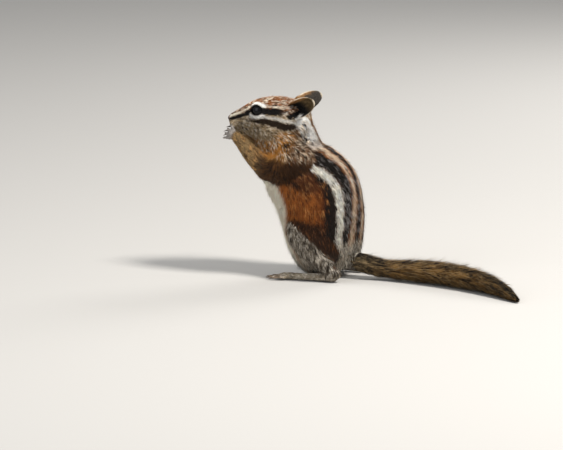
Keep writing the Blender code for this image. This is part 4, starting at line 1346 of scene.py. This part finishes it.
def tail_coat(skin, unwrap, material):
    """Long hairs of the tail, in pointed locks that lie back along it and close to a brush at its end."""
    rng = np.random.default_rng(SEED + 1)
    density = (skin.owner == TAIL_OWNER).astype(float)
    picked, shares = sampled(skin, density, int(TAIL_HAIRS * SHARE), rng)
    roots = at_places(skin.points, skin, picked, shares)
    normals = unit(at_places(skin.normals, skin, picked, shares))
    patches = (unwrap[picked] * shares[:, :, None]).sum(axis=1)
    count = len(roots)
    line = TAIL[:, :3]
    last = len(TAIL) - 1.001
    step = TAIL_LENGTH / (len(TAIL) - 1)
    station = np.argmin(((roots[:, None] - line[None]) ** 2).sum(axis=2), axis=1)
    share = station / last
    along = unit(np.gradient(line, axis=0))
    level = unit(np.cross((0, 0, 1), along))
    up = np.cross(along, level)
    out = unit(normals - along[station] * (normals * along[station]).sum(1)[:, None])
    # Each hair belongs to a lock, and takes much of its length, lift and colour from it.
    locks = rng.choice(count, count // TO_A_LOCK, replace=False)
    tree = KDTree(len(locks))
    for i, c in enumerate(locks):
        tree.insert(roots[c] + along[station[c]] * rng.uniform(-1, 1), i)
    tree.balance()
    own = np.array([tree.find(r)[1] for r in roots.tolist()])
    lock_out = out[locks][own]
    lock_reach = rng.uniform(0.66, 1.12, len(locks))[own]
    lock_long = rng.uniform(0.8, 1.2, len(locks))[own]
    lock_tone = rng.random(len(locks))[own]
    length = (6.0 + 6.5 * smoothstep(0.02, 0.3, share)) * lock_long * rng.uniform(0.75, 1.1, count)
    out_tip = unit(out * 0.3 + lock_out * 0.7 + rng.normal(0, 0.09, (count, 3)))

    def on_tail(part, direction, reach_share):
        at = station + part * length / step
        over_end = np.maximum(at - last, 0) * step
        at = np.clip(at, 0, last)
        i = at.astype(int)
        mix = (at - i)[:, None]
        beyond = TAIL_BRUSH * (1 - np.exp(-over_end / TAIL_BRUSH))
        centre = line[i] * (1 - mix) + line[i + 1] * mix + along[i] * beyond[:, None]
        reach = TAIL[i, 3] * (1 - mix[:, 0]) + TAIL[i + 1, 3] * mix[:, 0]
        reach = reach * (1 - 0.9 * beyond / TAIL_BRUSH)
        aside = (direction * level[i]).sum(1)[:, None] * level[i] * 1.06
        rise = (direction * up[i]).sum(1)[:, None] * up[i] * 0.94
        return centre + (aside + rise) * (reach * reach_share)[:, None]

    layer = rng.uniform(0.3, 1.0, count) ** 0.7
    stray = (rng.random(count) < 0.16) * rng.uniform(0.2, 1.0, count)
    start = 0.3 * (1 - smoothstep(0.0, 0.16, share))
    middles = on_tail(0.45, unit(out * 0.6 + out_tip * 0.4), 0.52 + start + 0.2 * layer)
    tips = on_tail(1.0, out_tip, (0.5 + 0.5 * layer) * lock_reach + 0.5 * stray)
    for verts in (middles, tips):
        verts[:, 2] = np.maximum(verts[:, 2], 0.12)
    side = unit(np.cross(out, tips - roots))
    lift = unit(np.cross(tips - roots, side))
    wide = rng.uniform(0.2, 0.36, count) / 2 * (1 - 0.4 * (stray > 0))
    # Streaks of ochre and black, darkest along the upper and lower edge and the end, with pale tips.
    edge = np.abs((out_tip * up[station]).sum(1))
    end = smoothstep(0.5, 0.95, share)
    root_top = (1 - smoothstep(0.02, 0.1, share)) * smoothstep(0.3, 0.8, (out * up[station]).sum(1))
    dark_share = 0.6 * root_top + 0.4 + 0.35 * smoothstep(0.55, 0.95, edge) + 0.3 * end
    is_dark = np.where(rng.random(count) < 0.75, lock_tone, rng.random(count)) < dark_share
    ochre = linear(TAIL_OCHRE) * rng.uniform(0.6, 1.15, count)[:, None]
    base = over(ochre, TAIL_ROOT_GREY, (1 - smoothstep(0.02, 0.22, share)) * 0.8)
    dark = linear(TAIL_DARK) * rng.uniform(0.6, 1.3, count)[:, None]
    pale = linear(TAIL_PALE) * rng.uniform(0.75, 1.1, count)[:, None]
    middle_tint = np.where(is_dark[:, None], dark, base)
    pale_tip = rng.random(count) < 0.24 - 0.1 * end
    tip_tint = np.where(pale_tip[:, None], pale, np.where(is_dark[:, None], dark, base * 0.85))
    # The roots are darker: partly the dark bases of real hair, partly painted shade deep in the coat.
    tint = np.stack([base * 0.45, middle_tint, tip_tint], axis=1)
    return hair_mesh(
        "tail_coat",
        roots - normals * 0.1,
        middles,
        tips,
        side * wide[:, None],
        lift * wide[:, None] * 0.35,
        tint,
        patches,
        material,
    )


# Materials.
def hair_material(name, roughness):
    material = bpy.data.materials.new(name)
    material.use_nodes = True
    nodes, links = material.node_tree.nodes, material.node_tree.links
    shader = nodes["Principled BSDF"]
    marking = nodes.new("ShaderNodeVertexColor")
    marking.layer_name = "Markings"
    links.new(marking.outputs["Color"], shader.inputs["Base Color"])
    shader.inputs["Roughness"].default_value = roughness
    shader.inputs["Specular IOR Level"].default_value = 0.16
    shader.inputs["Sheen Weight"].default_value = 0.02
    shader.inputs["Sheen Roughness"].default_value = 0.4
    return material


def skin_material():
    material = hair_material("skin", 0.7)
    nodes, links = material.node_tree.nodes, material.node_tree.links
    shader = nodes["Principled BSDF"]
    grain = nodes.new("ShaderNodeTexNoise")
    grain.inputs["Scale"].default_value = 2600
    grain.inputs["Detail"].default_value = 3
    bump = nodes.new("ShaderNodeBump")
    bump.inputs["Strength"].default_value = 0.5
    bump.inputs["Distance"].default_value = 0.0001
    links.new(grain.outputs["Fac"], bump.inputs["Height"])
    links.new(bump.outputs["Normal"], shader.inputs["Normal"])
    return material


def plain_material(name, colour, roughness, specular=0.5):
    material = bpy.data.materials.new(name)
    material.use_nodes = True
    shader = material.node_tree.nodes["Principled BSDF"]
    shader.inputs["Base Color"].default_value = (*linear(colour), 1)
    shader.inputs["Roughness"].default_value = roughness
    shader.inputs["Specular IOR Level"].default_value = specular
    return material


# Eyes, lids, claws and whiskers.
def placed_mesh(name, shape, material, smooth=True):
    mesh = bpy.data.meshes.new(name)
    shape.to_mesh(mesh)
    shape.free()
    mesh.materials.append(material)
    if smooth:
        mesh.shade_smooth()
    return linked(name, mesh)


def to_frame_matrix(matrix):
    return Matrix.Translation(Vector(SHIFT) * MM) @ Matrix.Diagonal((MM, MM, MM, 1)) @ matrix


def eye_ball(side, sign, material):
    shape = bmesh.new()
    bmesh.ops.create_uvsphere(shape, u_segments=64, v_segments=32, radius=EYE_RADIUS)
    bmesh.ops.transform(shape, matrix=to_frame_matrix(eye_frame(sign)), verts=shape.verts)
    return placed_mesh("eyeball_" + side, shape, material)


def lid_rim(side, sign, material):
    """The dark bare edge of the eyelids, as a soft ring round the opening."""
    steps, around = 64, 10
    thick = 0.12  # half the rim's thickness, and how far it stands in from the opening
    long, high = LID_OPENING
    points = []
    for i in range(steps):
        t = 2 * math.pi * i / steps
        x, y = (long - thick) * math.cos(t), (high - thick) * math.sin(t)
        z = math.sqrt((EYE_RADIUS + thick) ** 2 - x * x - y * y)
        centre = np.array((x, y, z))
        outward = unit(np.array((x, y, 0)))
        up = unit(centre)
        outward = unit(outward - up * (outward @ up))
        points += ring(centre, outward * 0.2, up * thick, 1, around)
    faces = []
    for i in range(steps):
        for k in range(around):
            a, b = i * around + k, i * around + (k + 1) % around
            c, d = ((i + 1) % steps) * around + (k + 1) % around, ((i + 1) % steps) * around + k
            faces.append((a, b, c, d))
    return mesh_object("eyelid_" + side, moved(np.array(points), eye_frame(sign)), faces, material)


def digit_tips():
    """The tip of every finger and toe, its direction and the way it bends."""
    tips = []
    for root, way, bend, length, _ in digits():
        tip = root + way * length + bend * length
        before = root + way * length * 0.7 + bend * length * 0.49
        tips.append((tip, unit(tip - before), unit(bend)))
    return tips


def claws(material):
    points, faces = [], []
    sides = 8
    rings = ((-0.7, 0.9), (0.0, 1.0), (0.45, 0.72), (0.85, 0.36), (1.08, 0.08))
    for tip, way, bend in digit_tips():
        level = unit(np.cross(way, bend + np.array((0.01, 0.02, 0.0))))
        up = unit(np.cross(level, way))
        faces += ring_faces(len(rings), sides, len(points))
        for share, thick in rings:
            reach = CLAW_LENGTH * share
            centre = tip + way * reach + bend * 0.3 * reach * max(share, 0)
            points += ring(centre, level * 0.75, up, CLAW_RADIUS * thick, sides)
    points = np.array(points)
    points[:, 2] = np.maximum(points[:, 2], 0.02)
    return mesh_object("claws", points, faces, material)


def nostrils(material):
    # Painted shade: dark ellipsoids on the nose stand for the shadowed openings of the nostrils.
    shape = bmesh.new()
    for _, sign in SIDES:
        place = HEAD_PLACE @ Matrix.Translation(Vector(mirrored((0.5, -0.95, -0.1), sign)))
        place = place @ Matrix.Rotation(-0.5 * sign, 4, "Z") @ Matrix.Rotation(0.5, 4, "Y")
        size = Matrix.Diagonal((0.34, 0.4, 0.24, 1))
        bmesh.ops.create_icosphere(shape, subdivisions=2, radius=1, matrix=to_frame_matrix(place @ size))
    return placed_mesh("nostrils", shape, material)


def whiskers(material):
    """Fine dark bristles from the whisker pads, swept out and back."""
    rng = np.random.default_rng(SEED + 2)
    points, faces = [], []
    steps, sides = 7, 3
    across, up = np.array((1, 0, 0)), np.array((0, 0, 1))
    for (_, sign), row, column in itertools.product(SIDES, range(4), range(4)):
        aside = -1.9 - column * 0.42 - 0.25 * (row == 1)
        root = np.array((2.6 + column * 0.95, aside, -0.9 - row * 0.75))
        length = 9.0 + column * 2.6 + rng.uniform(-1, 1) - row * 0.8
        way = unit(np.array((0.32 + 0.14 * column, -0.9, 0.28 - row * 0.2)) + rng.normal(0, 0.06, 3))
        sag = np.array((0.16, 0, -0.12)) * length
        faces += ring_faces(steps, sides, len(points))
        for share in np.linspace(0, 1, steps):
            centre = root + way * length * share + sag * share**2
            spots = ring(centre, across, up, 0.075 * (1 - 0.85 * share), sides)
            points += [np.array(HEAD_PLACE @ Vector(mirrored(spot, sign))) for spot in spots]
    return mesh_object("whiskers", np.array(points), faces, material)


def unwrapped(obj):
    """An unwrap of the skin's own shape, named for the export. Gives the corners of each triangle."""
    for other in bpy.context.scene.objects:
        other.select_set(False)
    obj.select_set(True)
    bpy.context.view_layer.objects.active = obj
    obj.data.uv_layers.new(name="OFBake")
    bpy.ops.object.mode_set(mode="EDIT")
    bpy.ops.mesh.select_all(action="SELECT")
    bpy.ops.uv.smart_project(angle_limit=math.radians(66), island_margin=0.001)
    bpy.ops.object.mode_set(mode="OBJECT")
    mesh = obj.data
    mesh.calc_loop_triangles()
    corners = np.empty(len(mesh.loop_triangles) * 3, np.int32)
    mesh.loop_triangles.foreach_get("loops", corners)
    uv = np.empty(len(mesh.loops) * 2, np.float32)
    mesh.uv_layers["OFBake"].data.foreach_get("uv", uv)
    return uv.reshape(-1, 2)[corners.reshape(-1, 3)].astype(float)


def paint_skin(skin, material):
    noise = np.full(len(skin.points), 0.5)
    colours = markings(skin.points, skin.normals, skin.owner, noise)
    kinds = np.array(KINDS)[skin.owner]
    # Painted shade: the skin is darker under the coat, as shade beneath the hair, less so on the ears, paws
    # and feet, and not at the nose.
    bare = np.isin(kinds, ("ear", "forepaw", "hindfoot"))
    shade = np.where(bare, 0.85, 0.55)[:, None]
    shade[within(in_head(skin.points), NOSE_MIDDLE, (1.7, 1.7, 1.6)) < 1] = 1.0
    tint = np.ones((len(skin.points), 4), np.float32)
    tint[:, :3] = colours * shade
    layer = skin.obj.data.color_attributes.new("Markings", "FLOAT_COLOR", "POINT")
    layer.data.foreach_set("color", tint.ravel())
    skin.obj.data.materials.clear()
    skin.obj.data.materials.append(material)
    skin.obj.data.shade_smooth()


# The room, the lights and the camera.
PIXEL = 0.43  # millimetres of the animal to one pixel of the photograph's frame
VIEW_AZIMUTH = math.radians(20)
VIEW_ELEVATION = math.radians(9)
VIEW_DISTANCE = 2.0
FRAME_WIDTH = 563
FRAME_HEIGHT = 450
ORIGIN_AT = (320, 275)  # where the animal's own origin falls in the frame
SENSOR = 36.0
LIT_PLACE = Vector((-0.01, 0.0, 0.035))  # what the lights point at, in metres


def view_axes():
    back = Vector(
        (
            math.sin(VIEW_AZIMUTH) * math.cos(VIEW_ELEVATION),
            -math.cos(VIEW_AZIMUTH) * math.cos(VIEW_ELEVATION),
            math.sin(VIEW_ELEVATION),
        )
    )
    right = Vector((math.cos(VIEW_AZIMUTH), math.sin(VIEW_AZIMUTH), 0))
    return right, back.cross(right), back


def make_camera():
    right, up, back = view_axes()
    across = (FRAME_WIDTH / 2 - ORIGIN_AT[0]) * PIXEL
    above = (ORIGIN_AT[1] - FRAME_HEIGHT / 2) * PIXEL
    centre = Vector(SHIFT) * MM + (right * across + up * above) * MM
    data = bpy.data.cameras.new("camera")
    data.sensor_width = SENSOR
    data.lens = SENSOR * VIEW_DISTANCE / (FRAME_WIDTH * PIXEL * MM)
    data.clip_end = 50
    camera = linked("camera", data)
    camera.location = centre + back * VIEW_DISTANCE
    camera.rotation_mode = "QUATERNION"
    camera.rotation_quaternion = (-back).to_track_quat("-Z", "Y")
    bpy.context.scene.camera = camera


def area_light(name, place, size, power, colour):
    data = bpy.data.lights.new(name, "AREA")
    data.size = size
    data.energy = power
    data.color = colour
    light = linked(name, data)
    light.location = place
    light.rotation_euler = (LIT_PLACE - Vector(place)).to_track_quat("-Z", "Y").to_euler()


def make_room():
    shape = bmesh.new()
    bmesh.ops.create_grid(shape, x_segments=1, y_segments=1, size=6)
    matt = plain_material("floor", FLOOR_GREY, roughness=0.9, specular=0.2)
    floor = placed_mesh("floor", shape, matt, smooth=False)
    floor.location.z = -0.0002
    right, up, back = view_axes()
    area_light("key", right * 0.42 + up * 0.72 + back * 0.42, 0.2, 12.0, (1.0, 0.965, 0.91))
    area_light("fill", right * -0.8 + up * 0.35 + back * 0.6, 0.7, 3.5, (0.92, 0.96, 1.0))
    area_light("rim", right * 0.5 + up * 0.6 - back * 0.6, 0.4, 5.0, (1.0, 0.98, 0.95))
    world = bpy.data.worlds.new("room")
    world.use_nodes = True
    sky = world.node_tree.nodes["Background"]
    sky.inputs["Color"].default_value = (0.88, 0.89, 0.9, 1)
    sky.inputs["Strength"].default_value = 0.5
    bpy.context.scene.world = world
    bpy.context.scene.view_settings.view_transform = "Standard"


def build():
    skin = Skin()
    unwrap = unwrapped(skin.obj)
    paint_skin(skin, skin_material())
    tree = BVHTree.FromPolygons(skin.points.tolist(), skin.triangles.tolist())
    hair = hair_material("hair", 0.62)
    pieces = body_coat(skin, tree, unwrap, hair)
    tail = tail_coat(skin, unwrap, hair_material("tail_hair", 0.6))
    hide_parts(*FLESH)
    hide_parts(*TAIL_NODES)
    for piece in [skin.obj, *pieces]:
        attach(piece, "root")
    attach(tail, "root")
    wet = plain_material("eye", EYE_BLACK, roughness=0.03, specular=0.2)
    rim = plain_material("eyelid", LID_SKIN, roughness=0.7, specular=0.2)
    for side, sign in SIDES:
        ball = eye_ball(side, sign, wet)
        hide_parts("eye_" + side)
        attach(ball, "root")
        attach(lid_rim(side, sign, rim), "root")
    horn = claws(plain_material("claw", HORN, roughness=0.35))
    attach(horn, "root")
    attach(nostrils(plain_material("nostril", NOSTRIL_SHADE, roughness=0.8, specular=0.1)), "root")
    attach(whiskers(plain_material("whisker", WHISKER_DARK, roughness=0.4)), "root")


build()
make_room()
make_camera()
